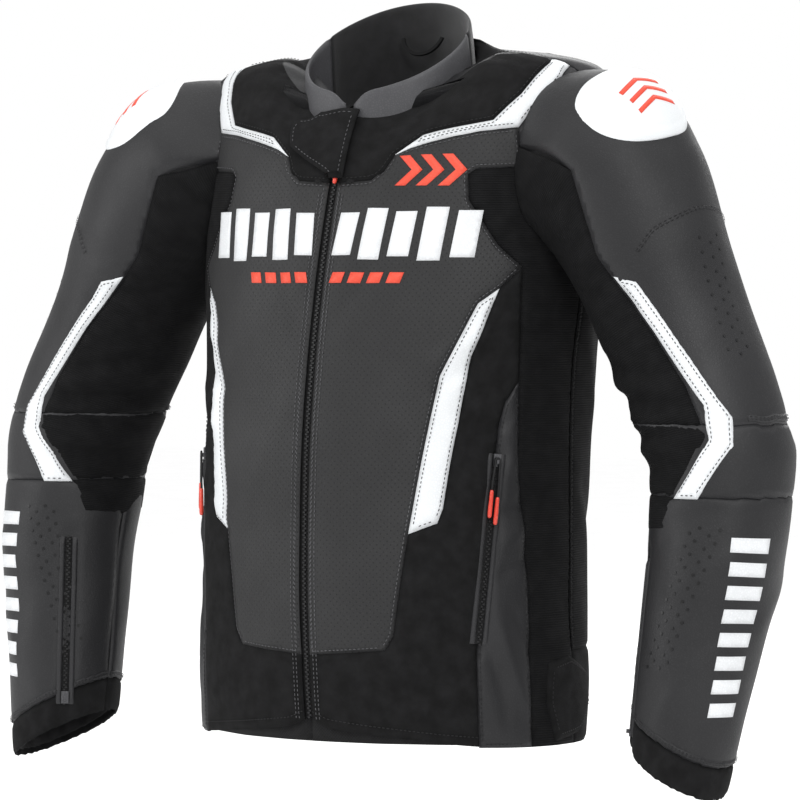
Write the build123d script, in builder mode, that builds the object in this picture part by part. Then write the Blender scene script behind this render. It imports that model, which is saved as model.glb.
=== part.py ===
from build123d import *
import os
from math import atan2, cos, degrees, pi, radians, sin, sqrt, tan

# Leather riding jacket, standing open-armed as on a form.  Millimetres, +Z up.
# Origin: mid-plane, at the height of the shoulder point beside the neck.
# The front faces -Y and the wearer's left is +X.

# Overall sizes
body_length = 658        # shoulder point to back hem
chest_half_width = 206
waist_half_width = 193
hem_half_width = 198
back_depth = 181         # behind the mid-plane, at the shoulder blades
wall = 2.5               # outer shell
lining_wall = 1.2
pad_wall = 10.0          # armour in shoulders and elbows
back_pad_wall = 12.0

# Front closing line: an arc in the mid-plane
neck_front = (-73, -62)      # y, z at the collar seam
belly_front = (-149.5, -480)  # y, z of the foremost point
zip_end_level = -632
zip_gap = 5.0            # half the gap between the front panels
tape_half_width = 11.0
tape_depth = 4.6         # under the front surface
coil_half_width = 2.6
coil_depth = 2.4

# Collar
collar_half_width = 82
collar_wall = 4.0
collar_top_tilt = 32.9
collar_top_half_depth = 86

# Sleeve: centre x, y, z, tilt from vertical, across radii, turn of the long radius
elbow_level = -385
elbow_half_height = 32
body_gap = 0.5           # between the stretch ring and the moving forearm
cuff_slope = 27          # degrees; the inner edge of the cuff is the higher one
cuff_seam_level = -640
cuff_height = 32
sleeve_turn = 10         # degrees: left sleeve turned out, right sleeve turned in

# Zips and pulls
slot_half_width = 4.2
small_coil_half_width = 2.2
slider_half_width = 3.6
slider_length = 12
coil_clear = 0.5          # slider over coil
slider_rise = 4.6
pocket_pull_height = 4.2   # of the cord over the pocket zip's chord, clear of the bulging panel
main_pull_height = 2.2
cord_radius = 1.0
tip_radius = 2.1
tip_length = 26
pocket_zip_levels = (-383, -560)
cuff_zip_levels = (-486, -648)
cuff_zip_angle = 46      # degrees from straight ahead towards the body
flap_gap = 5.4           # space under the storm flap for the slider and its pull

os.makedirs("parts", exist_ok=True)

across = chest_half_width / 206   # the pattern pieces grade with these two ratios
along = body_length / 658

zip_radius = ((neck_front[1] - belly_front[1]) ** 2 * along**2
              + (neck_front[0] - belly_front[0]) ** 2) / (2 * (neck_front[0] - belly_front[0]))
zip_centre = (belly_front[0] + zip_radius, belly_front[1] * along)


def front_y(z):
    """Foremost y of the torso at height z, on the closing line's arc."""
    return zip_centre[0] - sqrt(zip_radius**2 - (z - zip_centre[1]) ** 2)


def torso_rows():
    """Height, half width, front y and back y of each level of the torso."""
    chest, waist, hem, back = chest_half_width, waist_half_width, hem_half_width, back_depth
    trunk = [(-658, hem, back - 23), (-600, hem - 1, back - 13), (-500, waist, back - 8),
             (-400, waist, back - 1), (-300, waist + 4, back + 2), (-220, chest, back),
             (-160, chest + 4, back - 9), (-110, chest + 7, back - 23)]
    rows = [(z * along, a, front_y(z * along), y) for z, a, y in trunk]
    dome = [(-64, 11, -72, -40), (-32, 10, -50, -55), (-20, 0, -40, -64), (-12, -22, -32, -72),
            (-4, -60, -22, -79), (5, -108, -8, -86), (16, -144, 30, -91)]
    return rows + [(z, chest + a, y, back + b) for z, a, y, b in dome]


def torso(grow=0.0, open_hem=0.0):
    """Solid torso, grown by this much all round, and reaching open_hem below the hem."""
    with BuildPart() as body:
        for row, (z, half_width, front, back) in enumerate(torso_rows()):
            level = z - open_hem if row == 0 else z + (grow if row > 7 else 0)
            with BuildSketch(Plane.XY.offset(level)):
                with Locations((0, (front + back) / 2)):
                    Ellipse(half_width + grow, (back - front) / 2 + grow)
        loft(ruled=True)
    return body.part


def surface_point(angle, z):
    """Point and outward direction on the torso, at an angle from straight ahead."""
    rows = torso_rows()
    low, high = next(pair for pair in zip(rows, rows[1:]) if pair[1][0] >= z)
    t = (z - low[0]) / (high[0] - low[0])
    a, front, back = (low[i] + t * (high[i] - low[i]) for i in (1, 2, 3))
    b = (back - front) / 2
    s, c = sin(radians(angle)), cos(radians(angle))
    return Vector(a * s, (front + back) / 2 - b * c, z), Vector(s / a, -c / b, 0).normalized()


def sleeve_stations():
    """Centre x, y, z, tilt, front lean, long radius, short radius and its turn."""
    out = chest_half_width - 206
    upper = [(152, 32, -99, 72, 0, 80, 64, 90), (216, 22, -112, 56, 0, 96, 87, 90),
             (257, 16, -152, 42, 0, 89, 82, 60), (284, 10, -200, 30, 0, 79, 75, 45),
             (314, 6, -268, 24, 0, 73, 70, 45), (345, 3, -335, 18, 2, 73, 68, 45),
             (366, -1, -400, 5, 6, 70, 66, 45), (365, -16, -480, -5, 10, 65.5, 61.5, 45)]
    end = (342, -59, -715, -5, 10, 48, 44, 45)
    return [(s[0] + out,) + s[1:] for s in upper + [end]]


def station_plane(station):
    x, y, z, tilt, lean = station[:5]
    down = Vector(sin(radians(tilt)) * cos(radians(lean)), -sin(radians(lean)),
                  -cos(radians(tilt)) * cos(radians(lean)))
    outward = down.cross(Vector(0, -1, 0)).normalized()
    return Plane(origin=(x, y, z), x_dir=outward * (1 if outward.X > 0 else -1), z_dir=down)


def sleeve(grow=0.0):
    """Solid left sleeve, grown by this much."""
    with BuildPart() as tube:
        for station in sleeve_stations():
            with BuildSketch(station_plane(station)):
                Ellipse(station[5] + grow, station[6] + grow, rotation=90 - station[7])
        loft(ruled=True)
    return tube.part


def prism(points, front=True, side=1):
    """A pattern outline, drawn as seen from the front, cut straight through one half."""
    with BuildPart() as cutter:
        with BuildSketch(Plane.XZ.offset(-side_seam_y)):
            with BuildLine():
                Polyline(*[(x * side * across, z * along) for x, z in points], close=True)
            make_face()
        extrude(amount=400 if front else -400)
    return cutter.part


def save(piece, name):
    """Write one named node: a single solid, or a group of separate solids."""
    solids = [s for s in piece.solids() if s.volume > 40] or piece.solids()
    node = Compound(children=solids) if len(solids) > 1 else solids[0]
    node.label = name
    export_step(node, f"parts/{name}.step")
    print(name, len(solids), round(sum(s.volume for s in solids)))
    return node


side_seam_y = 18
edge = zip_gap / across

# Pattern outlines of the wearer's left half, x and z as seen from the front
panel_low = [(edge, -572), (80, -566), (88, -552), (101, -457)]
panel_side = [(101, -457), (122, -310), (148, -243), (163, -229), (178, -209)]
panel_arm = [(178, -209), (160, -188), (149, -169), (134, -146), (131, -122), (137, -117), (173, -115)]
strip_low = [(168, -78), (139, -81), (104, -88), (75, -94), (60, -100)]
strip_high = [(60, -100), (84, -82), (121, -76), (146, -71), (164, -47), (175, -20), (175, 60)]
yoke_low = [(60, -100), (52, -117), (40, -127), (edge, -129)]
strip_end = [(192, 60), (192, -30), (177, -61), (168, -78)]
waist_outer = [(163, -229), (145, -292), (137, -357), (128, -433), (124, -447), (101, -457)]
side_inner = [(176, -316), (168, -335), (165, -361), (161, -452), (153, -574), (153, -700)]
side_outer = [(186, -700), (184, -561), (179, -434), (176, -395), (176, -316)]
hem_front = [(153, -656), (100, -650), (22, -641), (edge, -634)]
flank = [(178, -209), (177, -270), (176, -316)]

OUTLINES = {
    "front_panel": panel_low + panel_side[1:] + panel_arm[1:] + strip_low + yoke_low[1:],
    "chest_yoke": yoke_low[::-1] + strip_high[1:] + [(edge, 60)],
    "chest_strip": strip_high + strip_end + strip_low[1:-1],
    "shoulder_panel": strip_end + [(173, -115), (300, -115), (300, 60)],
    "waist_strip": panel_side[:4] + waist_outer[1:-1],
    "side_panel": side_inner + side_outer[:-1],
    "lower_front": hem_front[::-1][:-1] + [(153, -656)] + side_inner[::-1][1:] + flank[::-1][1:]
    + [(163, -229)] + waist_outer[1:] + panel_low[::-1][1:],
}
stretch_front = panel_arm[::-1] + flank[1:] + side_outer[::-1][1:] + [(300, -700), (300, -115)]
stretch_back = [(110, -190), (110, -570), (300, -570), (300, -190)]
back_panel_outline = [(-110, -190), (-110, -570), (110, -570), (110, -190)]
back_yoke_outline = [(-300, -190), (-300, 60), (300, 60), (300, -190)]
back_hem_outline = [(-300, -570), (-300, -700), (300, -700), (300, -570)]

# Torso volumes
torso_outer = torso()
torso_inner = torso(-wall, open_hem=20)
torso_lining = torso(-wall - lining_wall, open_hem=20)
torso_pad = torso(-wall - lining_wall - back_pad_wall, open_hem=20)
torso_skin = torso_outer - torso_inner

# Collar: a tilted oval tube standing on the neckline
with BuildPart() as collar_solid:
    with BuildSketch(Plane(origin=(0, 10, -62), x_dir=(1, 0, 0), z_dir=(0, -sin(radians(28)), cos(radians(28))))):
        Ellipse(collar_half_width + 2, 84)
    top_plane = Plane(origin=(0, 2, 4), x_dir=(1, 0, 0),
                      z_dir=(0, -sin(radians(collar_top_tilt)), cos(radians(collar_top_tilt))))
    with BuildSketch(top_plane):
        Ellipse(collar_half_width, collar_top_half_depth)
    loft(ruled=True)

with BuildPart() as neck_bore:
    with BuildSketch(Plane(origin=(0, 10, -62), x_dir=(1, 0, 0), z_dir=(0, -sin(radians(28)), cos(radians(28)))).offset(-0.5)):
        Ellipse(collar_half_width + 2 - collar_wall, 84 - collar_wall)
    with BuildSketch(top_plane.offset(0.5)):
        Ellipse(collar_half_width - collar_wall, collar_top_half_depth - collar_wall)
    loft(ruled=True)

# Sleeve volumes of the left side; the right side is their mirror image
sleeve_outer = sleeve()
sleeve_inner = sleeve(-wall)
sleeve_pad = sleeve(-wall - pad_wall)
sleeve_skin = sleeve_outer - sleeve_inner - torso_outer
cap_bore = {1: sleeve_inner, -1: mirror(sleeve_inner, about=Plane.YZ)}

with BuildPart() as above_collar:
    with BuildSketch(top_plane):
        Ellipse(collar_half_width, collar_top_half_depth)
    extrude(amount=90)
neck_cut = neck_bore.part + above_collar.part
torso_skin = torso_skin - neck_cut - cap_bore[1] - cap_bore[-1]


def cut_plane(level, slope, side):
    """A plane across the sleeve; the inner edge is the higher one when it slopes."""
    return Plane(origin=(side * 350, -50, level), z_dir=(side * sin(radians(slope)), 0, cos(radians(slope))))


def slab(low, high, side, slope_low=0.0, slope_high=0.0):
    """What lies between two cuts across the sleeve on this side."""
    with BuildPart() as block:
        with Locations((side * 400, 0, -400)):
            Box(560, 600, 900)
        split(bisect_by=cut_plane(low, slope_low, side), keep=Keep.TOP)
        split(bisect_by=cut_plane(high, slope_high, side), keep=Keep.BOTTOM)
    return block.part


def zip_frame(top, bottom, outward):
    """Plane on a straight zip: x across it, y down it, z out of the garment."""
    down = (bottom - top).normalized()
    out = (outward - down * outward.dot(down)).normalized()
    return Plane(origin=top, x_dir=down.cross(out), z_dir=out), (bottom - top).length


def bar(frame, half_width, start, end, low, high):
    """A straight bar in a zip's frame."""
    with BuildPart() as block:
        with BuildSketch(frame.offset(low)):
            with Locations((0, (start + end) / 2)):
                Rectangle(2 * half_width, abs(end - start))
        extrude(amount=high - low)
    return block.part


def slider_body(frame, at, base):
    """Slider with its cord post; the pull hangs towards +y of the frame."""
    plate = bar(frame, slider_half_width, at - slider_length / 2, at + slider_length / 2, base, base + 1.6)
    post = bar(frame, 1.1, at - 0.6, at + 3.2, base + 1.6, base + slider_rise)
    return plate + post


def pull(frame, at, height):
    """One cord looped round the slider's post, and the two tips moulded on its ends."""
    route = [(-3.0, 31), (-3.0, 18), (-2.2, 6), (-2.4, -4.6), (2.4, -5.4), (2.2, 5), (3.2, 14), (3.2, 25)]
    points = [frame.from_local_coords(Vector(x, at + y, height)) for x, y in route]
    radii = []
    for before, corner, after in zip(points, points[1:], points[2:]):
        turn = (corner - before).get_angle(after - corner)
        radii.append(0.45 * min((corner - before).length, (after - corner).length) / tan(radians(turn / 2)))
    with BuildPart() as cord:
        with BuildLine() as path:
            FilletPolyline(*points, radius=radii)
        with BuildSketch(Plane(origin=points[0], z_dir=points[1] - points[0])):
            Circle(cord_radius)
        sweep()
    length = sum(e.length for e in path.edges())
    print("cord", round(length, 1), "radii", [round(r, 1) for r in radii],
          "volume ratio", round(cord.part.volume / (pi * cord_radius**2 * length), 4))
    with BuildPart() as tips:
        for end in (points[0], points[-1]):
            with BuildSketch(Plane(origin=end, z_dir=frame.y_dir)):
                Circle(tip_radius)
            extrude(amount=tip_length)
    return cord.part, tips.part


# Main zip: tapes and coil turned about the arc's distant axis, and its slider
zip_axis = Axis((0, zip_centre[0], zip_centre[1]), (1, 0, 0))


def arc_angle(z):
    return degrees(atan2(z - zip_centre[1], sqrt(zip_radius**2 - (z - zip_centre[1]) ** 2)))


def arc_plane(z):
    """Plane through the arc's axis: x across the zip, y away from the axis."""
    angle = radians(arc_angle(z))
    return Plane(origin=(0, zip_centre[0], zip_centre[1]), x_dir=(1, 0, 0),
                 z_dir=Vector(1, 0, 0).cross(Vector(0, -cos(angle), sin(angle))))


def arc_bar(half_width, low_depth, high_depth, top, bottom):
    """A strip that follows the closing line between two depths under the surface."""
    with BuildPart() as strip:
        with BuildSketch(arc_plane(top)):
            with Locations((0, zip_radius - (low_depth + high_depth) / 2)):
                Rectangle(2 * half_width, low_depth - high_depth)
        revolve(axis=zip_axis, revolution_arc=arc_angle(top) - arc_angle(bottom))
    return strip.part


zip_top = neck_front[1] - 8
zip_bottom = zip_end_level * along
main_zip = arc_bar(tape_half_width, tape_depth + 0.9, tape_depth, zip_top, zip_bottom)
main_zip += arc_bar(coil_half_width, tape_depth, coil_depth, zip_top, zip_bottom)
save(main_zip, "main_zip")

# Lining, with the front left open along the zip, and its hanging loop
lining = torso_inner - torso_lining - neck_cut - cap_bore[1] - cap_bore[-1]
with BuildPart() as front_slot:
    with Locations((0, -200, -300)):
        Box(2 * (tape_half_width + 3), 400, 900)
with BuildPart() as below_hem:
    with Locations((0, 0, -body_length + 12 - 100)):
        Box(900, 900, 200)

# Torso panels, left and right
pocket = {}
pocket_mouths = below_hem.part
for side, word in ((1, "left"), (-1, "right")):
    ends = []
    for z in pocket_zip_levels:
        low, high = next((b, a) for a, b in zip(side_inner, side_inner[1:]) if b[1] <= z)
        x = low[0] + (z - low[1]) / (high[1] - low[1]) * (high[0] - low[0])
        a = surface_point(90, z * along)[0].X
        ends.append(surface_point(degrees(atan2(x * across, sqrt(a**2 - (x * across) ** 2))), z * along))
    top, bottom = (Vector(side * p.X, p.Y, p.Z) for p, n in ends)
    outward = sum((Vector(side * n.X, n.Y, n.Z) for p, n in ends), Vector(0, 0, 0))
    frame, length = zip_frame(top, bottom, outward)
    slot = bar(frame, slot_half_width, -3, length + 3, -30, 30)
    pocket[side] = frame, length
    coil = bar(frame, slot_half_width - 0.4, -2, length + 2, -2.4, -1.6)
    coil += bar(frame, small_coil_half_width, -2, length + 2, -1.6, -0.2)
    pocket_mouths = pocket_mouths + bar(frame, slot_half_width + 0.4, -4, length + 4, -12, 4)
    save(coil, f"pocket_zip_{word}")
    save(slider_body(frame, slider_length / 2, 0.2), f"pocket_slider_{word}")
    cord, tips = pull(frame, slider_length / 2 + 3, pocket_pull_height)
    save(cord, f"pocket_cord_{word}")
    save(tips, f"pocket_tips_{word}")
    for name, outline in OUTLINES.items():
        piece = torso_skin & prism(outline, True, side)
        if name in ("side_panel", "lower_front"):
            piece = piece - slot
        save(piece, f"{name}_{word}")
    stretch = (torso_skin & prism(stretch_front, True, side)) + (torso_skin & prism(stretch_back, False, side))
    save(stretch, f"side_stretch_{word}")

save(lining - front_slot.part - pocket_mouths, "mesh_lining")
save(torso_skin & prism(back_panel_outline, False), "back_panel")
save(torso_skin & prism(back_yoke_outline, False), "back_yoke")
save(torso_skin & prism(back_hem_outline, False), "back_hem")
protector = [(-80, -150), (-95, -300), (-70, -520), (70, -520), (95, -300), (80, -150)]
save((torso_lining - torso_pad) & prism(protector, False), "back_protector")

# Collar bands and back
band = collar_solid.part - neck_bore.part - (torso_outer - above_collar.part)
collar_split_y = 30
for side, word in ((1, "left"), (-1, "right")):
    with BuildPart() as quarter:
        with Locations((side * (zip_gap + 150), collar_split_y - 150, 0)):
            Box(300, 300, 300)
    save(band & quarter.part, f"collar_band_{word}")
with BuildPart() as rear:
    with Locations((0, collar_split_y + 150, 0)):
        Box(400, 300, 300)
save(band & rear.part, "collar_back")
with BuildPart() as hang_loop:
    with BuildLine() as loop_line:
        ThreePointArc((-22, 66, 14), (0, 60, -2), (22, 66, 14))
    with BuildSketch(Plane(origin=(-22, 66, 14), z_dir=loop_line.line % 0)):
        Rectangle(3, 3)
    sweep()
save(hang_loop.part, "hang_loop")

# Storm flap: sewn down the left yoke, free over the zip and the right yoke
flap_outline = [(12, 40), (12, -126), (-2, -126), (-7, -121), (-56, -90), (-62, -70), (-62, 40)]
flap = (torso(flap_gap + 2.0) - torso(flap_gap)) & prism(flap_outline, True)
seam_outline = [(12, 40), (12, -126), (16, -126), (16, 40)]
flap_seam = (torso(flap_gap + 2.0) - torso_outer) & prism(seam_outline, True)
with BuildPart() as above_flap:
    with Locations((0, 0, 30)):
        Box(600, 600, 172)
save((flap + flap_seam) - collar_solid.part - above_flap.part, "storm_flap")

# Main slider at the collar, with its pull lying under the flap
slider_z = zip_top - 4


def radial(z):
    """Direction from the closing line's axis out to the front at height z."""
    return Vector(0, -cos(radians(arc_angle(z))), sin(radians(arc_angle(z))))


seat = Vector(0, zip_centre[0], zip_centre[1]) + radial(slider_z) * zip_radius
slider_frame = Plane(origin=seat, x_dir=(-1, 0, 0), z_dir=radial(slider_z))
pull_frame = Plane(origin=seat, x_dir=(-1, 0, 0), z_dir=radial(slider_z - (31 + tip_length) / 2))
save(slider_body(slider_frame, 0, coil_clear - coil_depth), "main_slider")
main_cord, main_tips = pull(pull_frame, 3, main_pull_height)
save(main_cord, "main_cord")
save(main_tips, "main_tips")

# Sleeves
gusset_outline = [(150, -120), (232, -120), (262, -200), (318, -elbow_half_height + elbow_level),
                  (318, -440), (150, -440)]
strip_outline = [(276, -218), (300, -222), (352, -290), (392, -345), (396, -372), (366, -420),
                 (340, -420), (374, -366), (368, -335), (318, -268)]
elbow_top = elbow_level + elbow_half_height
elbow_bottom = elbow_level - elbow_half_height
cup_plane = Plane(origin=(250 + chest_half_width - 206, 8, -62), x_dir=(0, 1, 0), z_dir=(0.68, 0, 0.73))
with BuildPart() as cup_cutter:
    with BuildSketch(cup_plane.offset(-60)):
        Ellipse(62, 42)
    extrude(amount=150)


def flip(piece, side):
    return piece if side > 0 else mirror(piece, about=Plane.YZ)


def sleeve_prism(points, shift, low_y, high_y):
    """A front-view outline cut through the left sleeve between two depths."""
    with BuildPart() as cutter:
        with BuildSketch(Plane.XZ.offset(-high_y)):
            with BuildLine():
                Polyline(*[(x + shift + chest_half_width - 206, z) for x, z in points], close=True)
            make_face()
        extrude(amount=high_y - low_y)
    return cutter.part


for side, word in ((1, "left"), (-1, "right")):
    turn = side * sleeve_turn
    upper = sleeve_skin & slab(elbow_top, 400, 1)
    ring = sleeve_skin & slab(elbow_bottom + body_gap, elbow_top, 1)
    strip_cut = sleeve_prism(strip_outline, turn, -150, -4)
    gusset_cut = sleeve_prism(gusset_outline, turn / 2, -200, 200)
    save(flip(upper - strip_cut - gusset_cut, side), f"upper_sleeve_{word}")
    save(flip((upper & gusset_cut) - strip_cut, side), f"sleeve_gusset_{word}")
    save(flip((upper + ring) & strip_cut, side), f"sleeve_strip_{word}")
    save(flip(ring - strip_cut, side), f"elbow_stretch_{word}")
    cup = (sleeve(5.0) - sleeve_outer - torso(5.2)) & cup_cutter.part
    save(flip(cup, side), f"shoulder_cup_{word}")
    armour = (sleeve_inner - sleeve_pad - torso_outer) & cup_cutter.part
    save(flip(armour, side), f"shoulder_armour_{word}")

    # Forearm, with the slot of the cuff zip
    low, high = sleeve_stations()[-1], sleeve_stations()[-2]
    ends = []
    for z in cuff_zip_levels:
        t = (z - low[2]) / (high[2] - low[2])
        centre = Vector(*[low[i] + t * (high[i] - low[i]) for i in (0, 1, 2)])
        plane = station_plane(high)
        angle = radians(-90 - cuff_zip_angle - turn)
        a, b = (low[i] + t * (high[i] - low[i]) for i in (5, 6))
        ahead = plane.y_dir if plane.y_dir.Y < 0 else plane.y_dir * -1
        toward = ahead * cos(radians(cuff_zip_angle + turn)) - plane.x_dir * sin(radians(cuff_zip_angle + turn))
        ends.append((centre + toward * ((a + b) / 2 - 1.2), toward))
    frame, length = zip_frame(ends[0][0], ends[1][0], ends[0][1])
    slot = bar(frame, slot_half_width, 0, length + 90, -30, 30)
    coil = bar(frame, slot_half_width - 0.4, 1, length + 1, -3.8, -3.0)
    coil += bar(frame, small_coil_half_width, 1, length + 1, -3.0, -1.6)
    lower = sleeve_skin & slab(cuff_seam_level, elbow_bottom, 1, cuff_slope, 0)
    cuff = sleeve_skin & slab(cuff_seam_level - cuff_height, cuff_seam_level, 1, cuff_slope, cuff_slope)
    save(flip(lower - slot, side), f"forearm_{word}")
    save(flip(cuff - slot, side), f"cuff_{word}")
    save(flip(coil, side), f"cuff_zip_{word}")
    slider = slider_body(frame, length - slider_length / 2 - 1, -1.2)
    save(flip(slider, side), f"cuff_slider_{word}")
    pad_cut = sleeve_prism([(330, -432), (460, -432), (460, -560), (330, -560)], 0, -20, 200)
    pad = (sleeve_inner - sleeve_pad) & pad_cut
    save(flip(pad, side), f"elbow_armour_{word}")
    print(word, "pocket axis", pocket[side][0].y_dir, "cuff axis", frame.y_dir, frame.origin)
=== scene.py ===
import math

import bpy
import numpy as np
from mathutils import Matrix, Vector
from mathutils.geometry import delaunay_2d_cdt


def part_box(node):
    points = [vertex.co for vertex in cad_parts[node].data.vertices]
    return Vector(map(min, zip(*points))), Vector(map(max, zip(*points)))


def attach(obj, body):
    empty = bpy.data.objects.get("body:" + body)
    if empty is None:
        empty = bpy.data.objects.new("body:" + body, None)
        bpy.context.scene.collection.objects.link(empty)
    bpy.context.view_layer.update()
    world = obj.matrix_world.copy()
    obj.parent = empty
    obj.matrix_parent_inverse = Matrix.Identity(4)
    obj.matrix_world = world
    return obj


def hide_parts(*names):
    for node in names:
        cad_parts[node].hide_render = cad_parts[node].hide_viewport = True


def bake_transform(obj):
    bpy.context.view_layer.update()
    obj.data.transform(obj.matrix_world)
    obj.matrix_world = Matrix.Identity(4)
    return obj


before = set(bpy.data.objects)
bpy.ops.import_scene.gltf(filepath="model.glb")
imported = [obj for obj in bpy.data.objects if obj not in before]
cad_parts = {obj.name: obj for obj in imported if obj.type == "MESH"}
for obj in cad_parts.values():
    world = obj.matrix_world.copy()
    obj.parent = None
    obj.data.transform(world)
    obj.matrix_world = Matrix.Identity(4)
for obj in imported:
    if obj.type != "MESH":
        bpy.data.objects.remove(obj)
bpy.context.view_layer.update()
scene = bpy.context.scene

# --- camera
TURN = math.radians(32)
DISTANCE, EYE_LEVEL, AIM_LEVEL, AIM_RIGHT = 4.5, -0.221, -0.3364, 0.0125
eye = Vector((DISTANCE * math.sin(TURN), -DISTANCE * math.cos(TURN), EYE_LEVEL))
aim = Vector((AIM_RIGHT * math.cos(TURN), AIM_RIGHT * math.sin(TURN), AIM_LEVEL))
camera = bpy.data.objects.new("camera", bpy.data.cameras.new("camera"))
camera.data.lens = 210.6
camera.data.sensor_width = 36
camera.location = eye
camera.rotation_euler = (aim - eye).to_track_quat("-Z", "Y").to_euler()
scene.collection.objects.link(camera)
scene.camera = camera


# --- node groups
def group(name, numbers, outputs):
    """Empty shader node group with a vector input, these numbers beside it, and numbers as outputs."""
    g = bpy.data.node_groups.new(name, "ShaderNodeTree")
    g.interface.new_socket(name="Vector", in_out="INPUT", socket_type="NodeSocketVector")
    for label, value in numbers.items():
        g.interface.new_socket(name=label, in_out="INPUT", socket_type="NodeSocketFloat").default_value = value
    for label in outputs:
        g.interface.new_socket(name=label, in_out="OUTPUT", socket_type="NodeSocketFloat")
    return g, g.nodes.new("NodeGroupInput"), g.nodes.new("NodeGroupOutput")


def add(tree, kind, links={}, **settings):
    """New node with these properties; links gives each named or numbered input its value or the socket it reads."""
    n = tree.nodes.new(kind)
    for key, value in settings.items():
        setattr(n, key, value)
    for key, value in links.items():
        socket = n.inputs[key]
        if isinstance(value, bpy.types.NodeSocket):
            tree.links.new(value, socket)
        else:
            socket.default_value = value
    return n


def maths(tree, op, a, b=0.0, clamp=False):
    return add(tree, "ShaderNodeMath", operation=op, use_clamp=clamp, links={0: a, 1: b}).outputs[0]


def noise(tree, vector, scale, detail=3.0, rough=0.55):
    return add(tree, "ShaderNodeTexNoise", links={"Vector": vector, "Scale": scale, "Detail": detail,
                                                  "Roughness": rough}).outputs[0]


# Leather grain: rounded cells with soft pores, broken up by long wrinkles
grain, gi, go = group("leather grain", {"Fineness": 420.0, "Wrinkle": 0.5}, ("Height", "Tone"))
cell = add(grain, "ShaderNodeTexVoronoi", feature="DISTANCE_TO_EDGE",
           links={"Vector": gi.outputs["Vector"], "Scale": gi.outputs["Fineness"]})
pebble = maths(grain, "MULTIPLY", cell.outputs["Distance"], 2.2, True)
long = noise(grain, gi.outputs["Vector"], 38.0, 6.0, 0.62)
crease = maths(grain, "MULTIPLY", maths(grain, "ABSOLUTE", maths(grain, "SUBTRACT", long, 0.5)), 7.0, True)
wrinkled = maths(grain, "MULTIPLY", crease, gi.outputs["Wrinkle"])
grain.links.new(maths(grain, "ADD", maths(grain, "MULTIPLY", pebble, 0.4), wrinkled), go.inputs["Height"])
broad = noise(grain, gi.outputs["Vector"], 9.0, 4.0, 0.5)
grain.links.new(maths(grain, "ADD", maths(grain, "MULTIPLY", broad, 0.75), maths(grain, "MULTIPLY", pebble, 0.25)),
                go.inputs["Tone"])

# Woven or knitted cloth: two crossed rows of threads read along the cloth
weave, wi, wo = group("weave", {"Pitch": 0.0014, "Rib": 0.0}, ("Height", "Tone"))
split_uv = add(weave, "ShaderNodeSeparateXYZ", links={0: wi.outputs["Vector"]})
turns = maths(weave, "DIVIDE", 2 * math.pi, wi.outputs["Pitch"])
over = maths(weave, "SINE", maths(weave, "MULTIPLY", split_uv.outputs[0], turns))
under = maths(weave, "SINE", maths(weave, "MULTIPLY", split_uv.outputs[1], turns))
crossed = maths(weave, "MULTIPLY", over, under)
ribbed = maths(weave, "MULTIPLY", maths(weave, "SUBTRACT", under, crossed), wi.outputs["Rib"])
thread = maths(weave, "ADD", crossed, ribbed)
weave.links.new(maths(weave, "MULTIPLY_ADD", thread, 0.5), wo.inputs["Height"])
fuzz = noise(weave, wi.outputs["Vector"], 60.0, 5.0, 0.6)
weave.links.new(maths(weave, "ADD", maths(weave, "MULTIPLY", thread, 0.18), fuzz), wo.inputs["Tone"])

# Punched holes in staggered rows, read along the cloth
holes, hi, ho = group("punched holes", {"Pitch": 0.0067, "Radius": 0.13}, ("Hole",))
hole_uv = add(holes, "ShaderNodeSeparateXYZ", links={0: hi.outputs["Vector"]})
counted = [maths(holes, "DIVIDE", hole_uv.outputs[n], hi.outputs["Pitch"]) for n in (0, 1)]
marks = []
for shift in (0.0, 0.5):
    aside = [maths(holes, "SUBTRACT", maths(holes, "FRACT", maths(holes, "ADD", c, shift)), 0.5) for c in counted]
    reach = maths(holes, "SQRT", maths(holes, "ADD", *[maths(holes, "MULTIPLY", c, c) for c in aside]))
    edge_in = maths(holes, "SUBTRACT", hi.outputs["Radius"], reach)
    marks.append(maths(holes, "MULTIPLY", edge_in, 22.0, True))
holes.links.new(maths(holes, "MAXIMUM", marks[0], marks[1]), ho.inputs["Hole"])


def srgb(code):
    """Hex colour as a linear one."""
    c = [int(code[i:i + 2], 16) / 255 for i in (0, 2, 4)]
    return tuple(v / 12.92 if v <= 0.04045 else ((v + 0.055) / 1.055) ** 2.4 for v in c) + (1.0,)


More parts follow.
